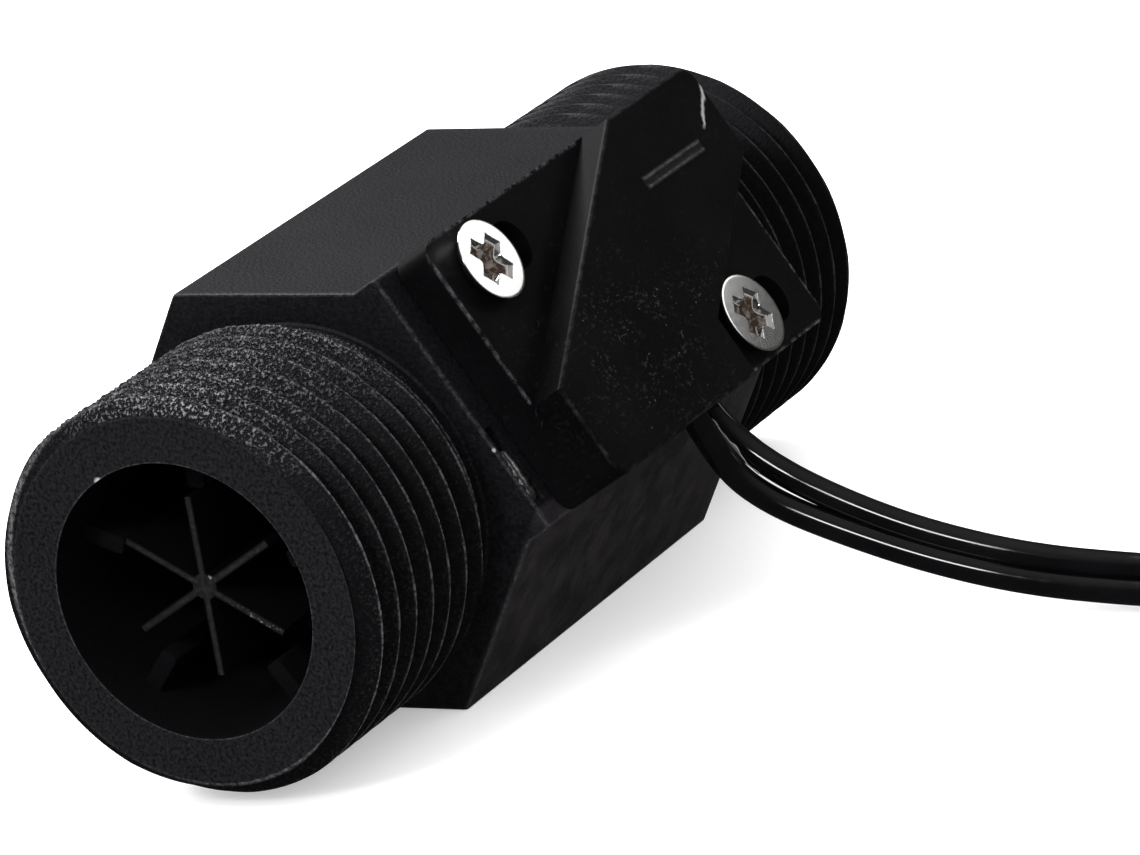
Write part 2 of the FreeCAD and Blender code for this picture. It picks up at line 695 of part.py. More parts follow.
glass_start = glass_middle - size("glass_length") / 2
capsule = along_facet(
    size("glass_radius"), size("glass_length"), glass_start, reed_row, level, Vector(1, 0, 0)
)
room = along_facet(
    size("glass_radius") - size("glass_wall"),
    size("glass_length") - 2 * size("glass_seal"),
    glass_start + size("glass_seal"),
    reed_row,
    level,
    Vector(1, 0, 0),
)
shaped("reed_glass", capsule.cut(room).cut(lead_solids["near"]).cut(lead_solids["far"]))

# Ferrules join the leads to the stripped cores, with a shrunk sleeve over each
down = Vector(0, -1, 0)
lane_end = -size("pad_width") / 2
for label, sign in (("near", -1), ("far", 1)):
    end = glass_middle + sign * (size("glass_length") / 2 + size("lead_reach"))
    ferrule = along_facet(size("splice_radius"), size("splice_length"), end, splice_top, level, down)
    sleeve = along_facet(size("sleeve_radius"), size("splice_length"), end, splice_top, level, down)
    lead_hole = along_facet(lead_radius, splice_top - lead_tip, end, splice_top, level, down)
    wire_hole = along_facet(
        size("conductor_radius"), size("conductor_length"), end, lead_tip, level, down
    )
    shaped(f"splice_{label}", ferrule.cut(lead_hole).cut(wire_hole))
    shaped(f"sleeve_{label}", sleeve.cut(ferrule))
    exit_lane = shift + sign * core_lane
    foot = facet_point(end, splice_foot, level)
    leave = facet_point(exit_lane, lane_end, level)
    if near(end, exit_lane):
        core_wire = Part.Wire(Part.LineSegment(foot, leave).toShape())
    else:
        core_wire, radii = bent_wire(
            [foot, facet_point(end, core_row, level), facet_point(exit_lane, core_row, level), leave],
            size("core_bend"),
        )
    shaped(f"core_{label}", tube(core_wire, size("core_radius")).fuse(wire_hole).removeSplitter())

# Resin fills the hollow round the reed and its wiring
resin = new_body("resin", tilted=True, along="cover_shift")
fill = new_sketch(resin, "XY_Plane", lift=f"{COVER_FLOOR} + potting_slack")
outline(fill, hollow_corners)
feature(resin, "Pad", fill, Length="band_height - cover_wall - potting_slack")
wiring = doc.addObject("Part::MultiFuse", "wiring")
wiring.Shapes = [
    doc.getObject(f"{name}_{label}")
    for label in ("near", "far")
    for name in ("reed_lead", "splice", "sleeve", "core")
] + [doc.addObject("Part::Feature", "reed_room")]
doc.getObject("reed_room").Shape = capsule
combine("potting", "Cut", resin, wiring)

# Cord: out of the notch, down in a slack curve to the table, and away to the coil
exit_height = level + size("cord_lift")
route = [
    facet_point(shift, lane_end, exit_height),
    facet_point(shift, lane_end - size("cord_run"), exit_height),
    Vector(2.1, -21.8, 8.4),
    Vector(2.3, -26.2, 6.3),
    Vector(2.6, -31.9, 4.2),
    Vector(2.9, -38.5, 2.6),
    Vector(3.0, -45.7, 1.85),
    Vector(2.6, -52.6, 1.85),
    Vector(1.9, -59.0, 2.2),
    Vector(size("coil_x") - size("coil_start"), size("coil_y"), 2.55),
]
cord_wire, cord_radii = bent_wire(route)
shaped("cord", tube(cord_wire, size("cord_radius")))

# Coil: the outer shape of the length that is put away, lifted on its tie, and the last curl inside it
coil_foot = size("tie_thickness") + size("tie_slack")
coil_middle = Vector(size("coil_x"), size("coil_y"), coil_foot)
upright = Vector(0, 0, 1)
coil = Part.makeCylinder(size("coil_outer"), size("coil_height"), coil_middle, upright)
coil = coil.cut(Part.makeCylinder(size("coil_inner"), size("coil_height"), coil_middle, upright))
shaped("cord_coil", coil)
curl_middle = coil_middle + Vector(0, size("end_bend") - size("end_radius"), size("coil_height") / 2)


def curl_point(turn):
    """A point of the last curl, from where it leaves the coil."""
    angle = math.radians(turn - 90)
    return curl_middle + Vector(math.cos(angle), math.sin(angle)) * size("end_bend")


last = size("end_turn")
curl = Part.Wire(Part.Arc(curl_point(0), curl_point(last / 2), curl_point(last)).toShape())
shaped("cord_end", tube(curl, size("cord_radius")))
leaving = Vector(math.cos(math.radians(last)), math.sin(math.radians(last)))
for label, sign in (("tinned_end_1", -1), ("tinned_end_2", 1)):
    start = curl_point(last) + upright * sign * size("core_radius")
    shaped(label, Part.makeCylinder(size("conductor_radius"), size("tail_length"), start, leaving))

# Tie: a band round the coil's section, with its catch on top
band_in = size("coil_inner") - size("tie_slack")
band_out = size("coil_outer") + size("tie_slack")
thick = size("tie_thickness")
tie_y = size("coil_y") - size("tie_width") / 2
tie_top = coil_foot + size("coil_height") + size("tie_slack")
loop = Part.makeBox(
    band_out - band_in + 2 * thick, size("tie_width"), tie_top + thick, Vector(size("coil_x") + band_in - thick, tie_y)
)
space = Part.makeBox(
    band_out - band_in, size("tie_width"), tie_top - thick, Vector(size("coil_x") + band_in, tie_y, thick)
)
catch = Part.makeBox(
    size("tie_width"),
    size("tie_width"),
    size("tie_head"),
    Vector(size("coil_x") + (band_in + band_out - size("tie_width")) / 2, tie_y, tie_top + thick),
)
shaped("coil_tie", loop.cut(space).fuse(catch).removeSplitter())

PIECES = (
    "housing", "cover_screw_near", "cover_screw_far", "outlet_retainer", "retaining_ring", "return_spring",
    "piston", "piston_magnet", "piston_cap",
    "cover", "reed_glass", "reed_lead_near", "reed_lead_far", "splice_near", "splice_far",
    "sleeve_near", "sleeve_far", "core_near", "core_far", "potting",
    "cord", "cord_coil", "cord_end", "coil_tie", "tinned_end_1", "tinned_end_2",
)
doc.recompute()
failed = [item.Name for item in doc.Objects if "Invalid" in item.State or "Error" in item.State]
if failed:
    raise RuntimeError("these did not build: " + ", ".join(failed))
for name in PIECES:
    shape = doc.getObject(name).Shape
    if shape.isNull() or not shape.isValid() or not shape.Solids:
        raise RuntimeError(name + " has no valid solid")
os.makedirs("parts", exist_ok=True)
for name in PIECES:
    doc.getObject(name).Shape.exportStep(f"parts/{name}.step")

expected = math.pi * size("cord_radius") ** 2 * cord_wire.Length
print("cord radii", [round(radius, 1) for radius in cord_radii])
print("cord volume over section times length", round(doc.getObject("cord").Shape.Volume / expected, 5))
for name in PIECES:
    shape = doc.getObject(name).Shape
    print(name, len(shape.Solids), round(shape.Volume, 2))
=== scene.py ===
import math

import bmesh
import bpy
import numpy as np
from mathutils import Matrix, Vector


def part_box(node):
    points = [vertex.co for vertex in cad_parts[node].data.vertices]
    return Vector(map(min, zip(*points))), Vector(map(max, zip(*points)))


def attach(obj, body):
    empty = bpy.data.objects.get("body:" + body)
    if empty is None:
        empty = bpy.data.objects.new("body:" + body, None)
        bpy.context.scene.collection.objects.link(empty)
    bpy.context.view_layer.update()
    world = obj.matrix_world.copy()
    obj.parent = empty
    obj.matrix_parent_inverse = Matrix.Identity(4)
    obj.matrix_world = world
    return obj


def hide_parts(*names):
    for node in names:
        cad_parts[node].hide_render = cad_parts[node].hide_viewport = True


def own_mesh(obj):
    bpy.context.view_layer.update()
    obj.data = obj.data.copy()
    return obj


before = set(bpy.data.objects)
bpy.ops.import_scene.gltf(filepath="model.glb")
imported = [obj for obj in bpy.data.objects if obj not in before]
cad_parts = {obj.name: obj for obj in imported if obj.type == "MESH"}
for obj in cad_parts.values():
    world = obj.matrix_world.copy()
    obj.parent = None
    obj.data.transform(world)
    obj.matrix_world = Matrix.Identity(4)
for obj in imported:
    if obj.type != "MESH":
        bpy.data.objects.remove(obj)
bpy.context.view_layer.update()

# Housing: one moulding of glass-filled nylon, a hexagon body between two male pipe threads with a wide pad
# on the facet that carries the cover, and five guide ribs inside the inlet. It leaves the mould matt, its
# edges a little rounded, and sand from a worn mould has stayed on top of the inlet's thread.
MM = 0.001
PIPE_HEIGHT = 13.9
END, THREAD_FOOT, SHOULDER = 33.8, 19.0, 16.8
CREST, THREAD_DEPTH, PITCH = 13.22, 1.3, 2.14
CREST_AT_INLET, CREST_AT_OUTLET = 0.525, -0.25
END_RING, LEAD_IN, RUN_OUT = 12.0, 0.45, 11.9
BORE, SEAT, GROOVE = 9.0, 9.4, 10.0
SEAT_PLACE, GROOVE_FROM, GROOVE_TO = 9.0, 13.1, 14.3
PAD_MIDDLE, PAD_DISTANCE, PAD_HALF = 150.0, 13.4, 9.4
NOTCH_LOW, NOTCH_HIGH, NOTCH_FLOOR = 2.2, 7.6, 12.75
NOTCH_FROM, NOTCH_TO = 0.4, 1.4


def surface(name, grids, sharp_angle=35.0):
    """Joins grids of points (rows, columns, xyz in millimetres) into one closed mesh in metres.

    Columns always close round; rows close too where the grid's flag says so, and a row that shrinks to a
    point becomes a pole. Each grid is (points, whether rows close, wear of its points from 0 to 1); on the
    resin bead that wear holds painted highlight lines.
    """
    places, corners, wear = [], [], []
    first = 0
    for points, rows_close, worn in grids:
        rows, columns = points.shape[:2]
        index = first + np.arange(rows * columns).reshape(rows, columns)
        on = np.roll(index, -1, axis=1)
        below, below_on = np.roll(index, -1, axis=0), np.roll(on, -1, axis=0)
        quads = np.stack([index, on, below_on, below], axis=-1)
        corners.append((quads if rows_close else quads[:-1]).reshape(-1, 4))
        places.append(points.reshape(-1, 3) * MM)
        wear.append(np.broadcast_to(worn, (rows, columns)).ravel())
        first += rows * columns
    mesh = bpy.data.meshes.new(name)
    mesh.from_pydata(np.concatenate(places), [], np.concatenate(corners))
    mesh.attributes.new("wear", "FLOAT", "POINT").data.foreach_set("value", np.concatenate(wear))
    work = bmesh.new()
    work.from_mesh(mesh)
    bmesh.ops.remove_doubles(work, verts=work.verts, dist=1e-7)
    bmesh.ops.recalc_face_normals(work, faces=work.faces)
    work.to_mesh(mesh)
    work.free()
    mesh.shade_smooth()
    mesh.set_sharp_from_angle(angle=math.radians(sharp_angle))
    piece = bpy.data.objects.new(name, mesh)
    bpy.context.scene.collection.objects.link(piece)
    return piece


def notch_edges():
    """Angles in degrees of both ends of the lever notch in the pad."""
    return [PAD_MIDDLE + math.degrees(math.atan2(across, PAD_DISTANCE)) for across in (NOTCH_LOW, NOTCH_HIGH)]


def housing_columns():
    """Angles round the pipe in degrees, and each one's wear, 1 at a corner and 0 from 0.9 degrees off it.

    The angles are even steps, finer ones on the sandy side, the notch's edges and a few on both sides of each
    corner: the hexagon's own, the pad's, and where the pad's sides meet the hexagon.
    """
    step, sandy_step, worn_reach = 2.4, 0.9, 0.9
    pad_corner = math.degrees(math.atan2(PAD_HALF, PAD_DISTANCE))
    pad_root = math.degrees(math.atan2(PAD_HALF, PIPE_HEIGHT * 2 - PAD_HALF * math.tan(math.radians(60))))
    bends = [0.0, 60.0, 240.0, 300.0]
    bends += [PAD_MIDDLE + side * turn for side in (-1, 1) for turn in (pad_corner, pad_root)]
    beside = np.array([-1.4, -0.8, -0.4, -0.15, 0.0, 0.15, 0.4, 0.8, 1.4])
    low, high = notch_edges()
    even, sandy = np.arange(0.0, 360.0, step), np.arange(48.0, 146.0, sandy_step)
    at_notch = [low - 0.3, low, high, high + 0.3]
    degrees = np.concatenate([even, sandy, at_notch] + [bend + beside for bend in bends])
    degrees = np.unique(np.round(degrees % 360.0, 4))
    off_bend = np.min([np.abs((degrees - bend + 180) % 360 - 180) for bend in bends], axis=0)
    return degrees, np.clip(1 - off_bend / worn_reach, 0, 1)


def body_radius(angle):
    """Hexagon and pad: 1 / r is the p-norm of cos(angle - facet) / distance, which rounds the corners.

    The pad is the same with its face and its two sides, and the larger r counts.
    """
    corner_power, pad_power = 200, 90
    facets = np.radians(np.array([-90.0, -30.0, 30.0, 90.0, 210.0]))
    off_pad = angle - math.radians(PAD_MIDDLE)
    lean = np.cos(angle[None, :] - facets[:, None]) / PIPE_HEIGHT
    lean = np.vstack([lean, np.cos(off_pad)[None, :] / PAD_DISTANCE]).clip(0.0)
    hexagon = 1 / (lean ** corner_power).sum(0) ** (1 / corner_power)
    face, sides = np.cos(off_pad).clip(1e-6) / PAD_DISTANCE, np.abs(np.sin(off_pad)).clip(0.1) / PAD_HALF
    pad = 1 / (face ** pad_power + sides ** pad_power) ** (1 / pad_power)
    return np.maximum(hexagon, np.where(np.cos(off_pad) > 0, pad, 0.0))


def thread_radius(x, degrees):
    """Thread: with t the share of half a turn off the crest, r falls to the root as a straight flank of t.

    The turn is (x - start) / pitch - angle / 2 pi. All is held under the lead-in's cone and the run-out's.
    On the inlet's sandy side r is lowered by lumps, the product of two sines of the ways along and around.
    """
    crest_flat, flank, run_out_slope, lump = 0.10, 0.72, 1.6, 0.075
    angle = np.radians(degrees)
    start = np.where(x < 0, CREST_AT_INLET, CREST_AT_OUTLET)
    turn = ((x - start) / PITCH)[:, None] - angle[None, :] / (2 * math.pi)
    off_crest = np.abs((turn + 0.5) % 1.0 - 0.5) * 2
    along, around = x[:, None], CREST * angle[None, :]
    lumps = np.sin(9.1 * along + 3 * np.sin(2.3 * around)) * np.sin(8.3 * around + 2 * np.sin(3.1 * along))
    sandy = np.clip((degrees - 46.0) / 10.0, 0, 1) * np.clip((150.0 - degrees) / 25.0, 0, 1)
    sand = lump * (1 + lumps) * sandy * (along < 0)
    radius = CREST - sand - THREAD_DEPTH * np.clip((off_crest - crest_flat) / flank, 0, 1)
    lead_in = END_RING + (END - np.abs(x)) * (CREST - END_RING) / LEAD_IN
    run_out = RUN_OUT + (np.abs(x) - THREAD_FOOT) * run_out_slope + 0.1
    return np.minimum(radius, np.minimum(lead_in, run_out)[:, None])


def housing_shell():
    """Radius r(x, angle) about the pipe axis, from the inlet's end over the outside and back by the bore.

    Each row is a place along the pipe, the radius there and how worn it is. Rubbed pale are the rim of the
    bore, the ring's outer edge, most of all at its lower right, and the hexagon's edges.
    """
    rounding, first_step, fillet, mouth = 0.22, 0.06, 0.15, 0.4
    degrees, corner_wear = housing_columns()
    angle = np.radians(degrees)
    body = body_radius(angle)
    low, high = notch_edges()
    notched = (degrees > low - 0.01) & (degrees < high + 0.01)
    notch = np.where(notched, NOTCH_FLOOR / np.cos(angle - math.radians(PAD_MIDDLE)), body)
    rubbed = 0.3 + 2.2 * np.exp(-(((degrees - 238.0) / 42.0) ** 2))
    threaded = np.arange(-END + 0.08, -THREAD_FOOT, PITCH / 16)
    outlet = -threaded[::-1]

    rows = [(-END, BORE + 0.05, 1.2), (-END, BORE + 0.13, 0)]
    rows += [(-END, END_RING - 0.1, 0), (-END, END_RING, rubbed)]
    rows += [(x, radius, 0) for x, radius in zip(threaded, thread_radius(threaded, degrees))]
    rows += [(-THREAD_FOOT, RUN_OUT, 0), (-SHOULDER - fillet, RUN_OUT, 0), (-SHOULDER, RUN_OUT + fillet, 0)]
    rows += [(-SHOULDER, body - rounding, 0), (-SHOULDER + first_step, body - first_step, 1)]
    rows += [(-SHOULDER + rounding, body, 0.6)]
    rows += [(-SHOULDER + NOTCH_FROM - 0.02, body, 0), (-SHOULDER + NOTCH_FROM + 0.02, notch, 0)]
    rows += [(-SHOULDER + NOTCH_TO - 0.02, notch, 0), (-SHOULDER + NOTCH_TO + 0.02, body, 0)]
    rows += [(x, body, 0) for x in np.linspace(-15.0, 15.0, 9)]
    rows += [(SHOULDER - rounding, body, 0.6), (SHOULDER - first_step, body - first_step, 1)]
    rows += [(SHOULDER, body - rounding, 0)]
    rows += [(SHOULDER, RUN_OUT + fillet, 0), (SHOULDER + fillet, RUN_OUT, 0), (THREAD_FOOT, RUN_OUT, 0)]
    rows += [(x, radius, 0) for x, radius in zip(outlet, thread_radius(outlet, degrees))]
    rows += [(END, END_RING, 0), (END, SEAT + mouth, 0), (END - mouth, SEAT, 0)]
    rows += [(GROOVE_TO, SEAT, 0), (GROOVE_TO, GROOVE, 0), (GROOVE_FROM, GROOVE, 0), (GROOVE_FROM, SEAT, 0)]
    rows += [(SEAT_PLACE, SEAT, 0), (SEAT_PLACE, BORE, 0), (-END + 0.05, BORE, 0)]

    along, radius, worn = (np.array([row[k] * np.ones_like(angle) for row in rows]) for k in range(3))
    outside = (np.abs(along) < SHOULDER) & (radius > 11.0)
    worn = np.maximum(worn, np.where(outside, corner_wear, 0))
    points = np.stack([along, radius * np.cos(angle), radius * np.sin(angle) + PIPE_HEIGHT], axis=-1)
    return points, True, worn


def soft_bar(length_from, length_to, half_wide, half_high, rounding):
    """A bar along X with section |y / wide|^8 + |z / high|^8 = 1, drawn in by the rounding at both ends."""
    turn = np.linspace(0, 2 * math.pi, 40, endpoint=False)
    power = 2 / 8
    section = np.stack([np.sign(np.cos(turn)) * np.abs(np.cos(turn)) ** power * half_wide,
                        np.sign(np.sin(turn)) * np.abs(np.sin(turn)) ** power * half_high], axis=-1)
    drawn = np.array([0.0, 1.0, 0.3, 0.0])[:, None] * rounding
    shrink = 1 - drawn / np.array([half_wide, half_high])
    shrink[0] = 0.0
    shrink = np.concatenate([shrink, shrink[::-1]])
    start = length_from + np.array([0.0, 0.0, 0.3, 1.0]) * rounding
    stations = np.concatenate([start, length_to + length_from - start[::-1]])
    flat = section[None, :, :] * shrink[:, None, :]
    return np.concatenate([np.broadcast_to(stations[:, None, None], (*flat.shape[:2], 1)), flat], axis=-1)


def guide_ribs():
    """Five soft bars from the bore's wall towards the axis, evenly spaced round it."""
    count, first_turn, middle = 5, 21.0, 7.8
    bars = []
    for turn in np.radians(first_turn + 360.0 / count * np.arange(count)):
        bar = soft_bar(-30.6, -21.0, half_wide=1.6, half_high=0.6, rounding=0.12)
        out, side = bar[..., 1] + middle, bar[..., 2]
        across = out * math.cos(turn) - side * math.sin(turn)
        above = out * math.sin(turn) + side * math.cos(turn) + PIPE_HEIGHT
        bars.append((np.stack([bar[..., 0], across, above], axis=-1), False, 0.0))
    return bars


class Flow:
    """A socket in a material's node tree. Arithmetic on it adds Math nodes."""

    def __init__(self, tree, socket):
        self.tree, self.socket = tree, socket

    def node(self, kind, settings=None, inputs=None, output=0):
        """Adds a node: its settings first, then the values or links of its sockets."""
        made = self.tree.nodes.new(kind)
        for name, value in (settings or {}).items():
            setattr(made, name, value)
        for name, value in (inputs or {}).items():
            if isinstance(value, Flow):
                self.tree.links.new(value.socket, made.inputs[name])
            else:
                made.inputs[name].default_value = value
        return Flow(self.tree, made.outputs[output])

    def math(self, operation, first, second=0.0):
        return self.node("ShaderNodeMath", {"operation": operation}, {0: first, 1: second})

    def __add__(self, other):
        return self.math("ADD", self, other)

    def __sub__(self, other):
        return self.math("SUBTRACT", self, other)

    def __rsub__(self, other):
        return self.math("SUBTRACT", other, self)

    def __mul__(self, other):
        return self.math("MULTIPLY", self, other)

    __radd__ = __add__
    __rmul__ = __mul__

    def split(self):
        """The three parts of a vector."""
        first = self.node("ShaderNodeSeparateXYZ", None, {"Vector": self})
        return [Flow(self.tree, socket) for socket in first.socket.node.outputs]

    def size(self):
        """The value without its sign."""
        return self.math("ABSOLUTE", self)

    def near(self, reach):
        """1 where this is 0, falling to 0 at the reach on either side."""
        return self.size().ramp(reach, 0.0)

    def most(self, *others):
        """The largest of this and the others."""
        largest = self
        for other in others:
            largest = self.math("MAXIMUM", largest, other)
        return largest

    def ramp(self, low, high):
        """0 at low, 1 at high, straight between and held beyond."""
        limits = {"Value": self, "From Min": low, "From Max": high}
        return self.node("ShaderNodeMapRange", {"clamp": True}, limits)

    def noise(self, scale, detail=2.0, rough=0.5):
        """Noise of that many grains to the metre on this vector."""
        inputs = {"Vector": self, "Scale": scale, "Detail": detail, "Roughness": rough}
        return self.node("ShaderNodeTexNoise", {"noise_dimensions": "3D"}, inputs)

    def stretched(self, scale):
        """This vector with each of its parts scaled."""
        return self.node("ShaderNodeMapping", {"vector_type": "POINT"}, {"Vector": self, "Scale": scale})

    def between(self, first, second):
        """The first colour where this is 0 and the second where it is 1."""
        return self.node("ShaderNodeMix", {"data_type": "RGBA"}, {0: self, 6: first, 7: second}, 2)

    def wear(self):
        """The wear that the mesh carries, which on the resin bead is painted highlight lines."""
        return self.node("ShaderNodeAttribute", {"attribute_name": "wear"}, None, 2)

    def bump(self, distance, strength=1.0):
        """The normal of a surface with this height."""
        return self.node("ShaderNodeBump", None, {"Strength": strength, "Distance": distance, "Height": self})


def finish(name):
    """A new material, its Principled shader and its Object coordinates."""
    made = bpy.data.materials.new(name)
    made.use_nodes = True
    shader = made.node_tree.nodes["Principled BSDF"]
    spot = made.node_tree.nodes.new("ShaderNodeTexCoord")
    return made, shader, Flow(made.node_tree, spot.outputs["Object"])


def feed(shader, **inputs):
    """Sets or links sockets of a shader; an underscore stands for a blank."""
    for name, value in inputs.items():
        socket = shader.inputs[name.replace("_", " ")]
        if isinstance(value, Flow):
            value.tree.links.new(value.socket, socket)
        else:
            socket.default_value = value


def sandy_nylon():
    """The housing's nylon: fine grain all over, sand with painted glints on the inlet's thread, paler crests
    beside it.

    A crest is where (x - start) / pitch - angle / 2 pi is a whole number. The sand hides the crests on top,
    where the light falls. Painted shade darkens the thread's side away from the light and the whole bore, and
    the facet over the table is painted paler, a mottled painted reflection of the pale table.
    """
    soot, slate = (0.0006, 0.00056, 0.0008, 1), (0.0058, 0.0054, 0.0066, 1)
    painted_shade, ring_grain = (0.0004, 0.0004, 0.0005, 1), (0.0080, 0.0076, 0.0100, 1)
    painted_table_reflection, painted_bore_shade = (0.0180, 0.0155, 0.0162, 1), (0.0006, 0.0006, 0.0008, 1)
    painted_glint, rubbed, chipped = (0.27, 0.265, 0.275, 1), (0.085, 0.084, 0.088, 1), (0.25, 0.25, 0.25, 1)
    nicks = (((-33.8, 4.42, 7.75), 0.4), ((-16.78, -13.34, 3.66), 0.22))

    made, shader, place = finish("sandy_nylon")
    x, y, z = place.split()
    rise = z - PIPE_HEIGHT * MM
    off = x.size()
    threaded = off.ramp(17.0 * MM, 17.4 * MM) * off.ramp(33.79 * MM, 33.74 * MM)
    inlet = x.ramp(-16.0 * MM, -17.0 * MM)
    ring = off.ramp(33.74 * MM, 33.79 * MM)
    angle = rise.math("ARCTAN2", rise, y)
    # lit is the side of the thread that faces the light; it steers the painted shade and painted glints
    # below.
    lit = (angle - math.radians(99.0)).near(math.radians(42.0))
    bore = (y * y + rise * rise).ramp((9.05 * MM) ** 2, (9.01 * MM) ** 2)
    start = CREST_AT_OUTLET * MM + inlet * ((CREST_AT_INLET - CREST_AT_OUTLET) * MM)
    turn = (x - start) * (1 / (PITCH * MM)) - angle * (1 / (2 * math.pi))
    off_crest = turn.math("FRACT", turn + 0.5) - 0.5
    crest = off_crest.near(0.065).ramp(0.1, 0.7) * threaded

    slow = place.noise(150.0, 3.0)
    fine = place.noise(4200.0, 2.0, 0.6)
    lumps = place.noise(5200.0, 1.0, 0.6)
    sand = lumps.ramp(0.54, 0.70) * threaded * inlet * (0.12 + off_crest.near(0.45) * 0.88)
    sand = sand * (0.55 + x.ramp(-24.0 * MM, -33.0 * MM) * 0.45)
    broken = place.noise(3600.0, 3.0, 0.7).ramp(0.42, 0.62)
    first_crest = x.ramp(-31.6 * MM, -32.3 * MM)
    edge = crest * (0.20 + inlet * 0.30 + first_crest * 0.35) * (1 - lit * 0.9)
    edge = edge.most(place.wear() * 0.26) * (0.15 + broken * 0.85)
    under = (y * -0.866 - rise * 0.5).ramp(13.5 * MM, 13.85 * MM) * off.ramp(17.0 * MM, 16.5 * MM)
    under = under * (0.35 + place.noise(420.0, 4.0, 0.65).ramp(0.38, 0.66) * 0.65)

    tone = (slow * 0.35 + fine.ramp(0.40, 0.66) * 0.65).between(soot, slate)
    # Painted shade: the thread is darker on its side away from the light.
    tone = (threaded * (1 - lit) * 0.75).between(tone, painted_shade)
    tone = (ring * fine.ramp(0.35, 0.78)).between(tone, ring_grain)
    # Painted reflection of the pale table: the facet that faces it is paler, mottled.
    tone = under.between(tone, painted_table_reflection)
    # Painted glints: the sand grains are pale almost only where the light falls.
    tone = (sand * (0.03 + lit * 0.97)).between(tone, painted_glint)
    tone = edge.between(tone, rubbed)
    for (nick_x, nick_y, nick_rise), reach in nicks:
        nick = (x - nick_x * MM).near(reach * MM) * (y - nick_y * MM).near(reach * MM)
        nick = (nick * (rise - nick_rise * MM).near(reach * MM)).ramp(0.1, 0.5)
        tone = nick.between(tone, chipped)
    # Painted shade: the bore is dark all over, as the shade inside it.
    tone = bore.between(tone, painted_bore_shade)
    height = fine * 0.5 + slow * 0.2 + lumps * threaded * inlet * (0.3 + lit * 1.8)
    feed(shader, Base_Color=tone, Roughness=0.5 + slow * 0.14 - sand * 0.16 + bore * 0.35,
         Normal=height.bump(0.00012), Specular_IOR_Level=0.24, Specular_Tint=(1.0, 0.96, 1.06, 1))
    return made


housing = surface("housing_shell", [housing_shell()] + guide_ribs())
housing.data.materials.append(sandy_nylon())
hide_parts("housing")
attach(housing, "housing")

# Piston: a finned nose that centres in the inlet's ribs, a head that the flow pushes on and a hollow stem for
# the magnet. It is a plain black moulding, smoother than the housing, and wet most of its life.


def finned_plastic():
    """Dark plastic, its fins scuffed pale along the middle of their front edges, with painted glints on one
    fin and at the hub.
    """
    dark, grey = (0.0006, 0.0006, 0.0008, 1), (0.002, 0.002, 0.0024, 1)
    scuffed, bright = (0.011, 0.011, 0.012, 1), (0.10, 0.10, 0.10, 1)
    half_fin = 0.21 * MM

    made, shader, place = finish("finned_plastic")
    x, y, z = place.split()
    rise = z - PIPE_HEIGHT * MM
    ridge = y.near(half_fin)
    for lean in (-1, 1):
        ridge = ridge.most((y * 0.5 + rise * (lean * 0.866)).near(half_fin))
    hub = (y * y + rise * rise).ramp((1.0 * MM) ** 2, (0.7 * MM) ** 2)
    front = x.ramp(-31.0 * MM, -31.15 * MM)
    grit = place.noise(2600.0, 3.0, 0.7)
    scuff = ridge.ramp(0.0, 0.6).most(hub * 0.6) * front * (0.35 + grit.ramp(0.4, 0.65) * 0.65)
    # Painted glints: pale dots on one fin, and a pale spot at the hub's edge.
    painted_glint = place.noise(5200.0, 1.0).ramp(0.60, 0.70) * ridge.ramp(0.0, 0.5) * front
    painted_glint = painted_glint * ((y + 3.2 * MM).near(1.9 * MM) * rise.ramp(-0.6 * MM, -1.2 * MM)).ramp(0.0, 0.4)
    painted_hub_glint = (y + 0.55 * MM).near(0.2 * MM) * (rise - 0.68 * MM).near(0.3 * MM) * front
    tone = scuff.between(grit.between(dark, grey), scuffed)
    tone = painted_glint.most(painted_hub_glint.ramp(0.2, 0.6)).between(tone, bright)
    feed(shader, Base_Color=tone, Roughness=0.62 - grit * 0.1, Normal=grit.bump(0.00003, 0.5),
         Specular_IOR_Level=0.2)
    return made


def dress(node, material):
    """Gives a CAD node's mesh one material."""
    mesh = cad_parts[node].data
    mesh.materials.clear()
    mesh.materials.append(material)


piston_plastic = finned_plastic()
for node in ("piston", "piston_cap"):
    dress(node, piston_plastic)

# Magnet, return spring, retainer and retaining ring: the ground ferrite magnet sits in the piston's stem, the
# stainless spring pushes the piston back, and the moulded retainer is held in the outlet by a stamped ring.


def ground_metal(name, colour, rough, grain, streak):
    """Bare metal with fine marks drawn along one direction."""
    made, shader, place = finish(name)
    marks = place.stretched(streak).noise(grain, 4.0, 0.7)
    slow = place.noise(240.0, 2.0)
    shade = marks.ramp(0.3, 0.7).between((*[c * 0.72 for c in colour], 1), (*colour, 1))
    feed(shader, Base_Color=shade, Roughness=rough + slow * 0.16 - 0.08, Normal=marks.bump(0.000008, 0.35),
         Metallic=1.0)
    return made


def moulded(name, dark, pale, grain, relief, rough, wear_shade=0.0, sparkle=0.0):
    """Black moulded plastic: grain in relief, specks of fibre, slow changes of gloss, paler worn edges."""
    fibre, worn = (0.09, 0.09, 0.095, 1), (0.12, 0.12, 0.125, 1)
    made, shader, place = finish(name)
    slow = place.noise(160.0, 3.0)
    sand = place.noise(grain, 3.0, 0.65)
    speck = place.noise(grain * 1.6, 1.0).ramp(0.68, 0.76) * sparkle
    edge = place.wear() * (0.3 + place.noise(2200.0, 3.0, 0.7).ramp(0.40, 0.60) * 0.7) * wear_shade
    tone = (slow.ramp(0.3, 0.7) * 0.5 + sand.ramp(0.35, 0.75) * 0.5).between((*dark, 1), (*pale, 1))
    tone = edge.between(speck.between(tone, fibre), worn)
    feed(shader, Base_Color=tone, Roughness=rough + slow * 0.16 - speck * 0.2 - 0.08,
         Normal=(sand + slow).bump(relief), Specular_IOR_Level=0.3)
    return made


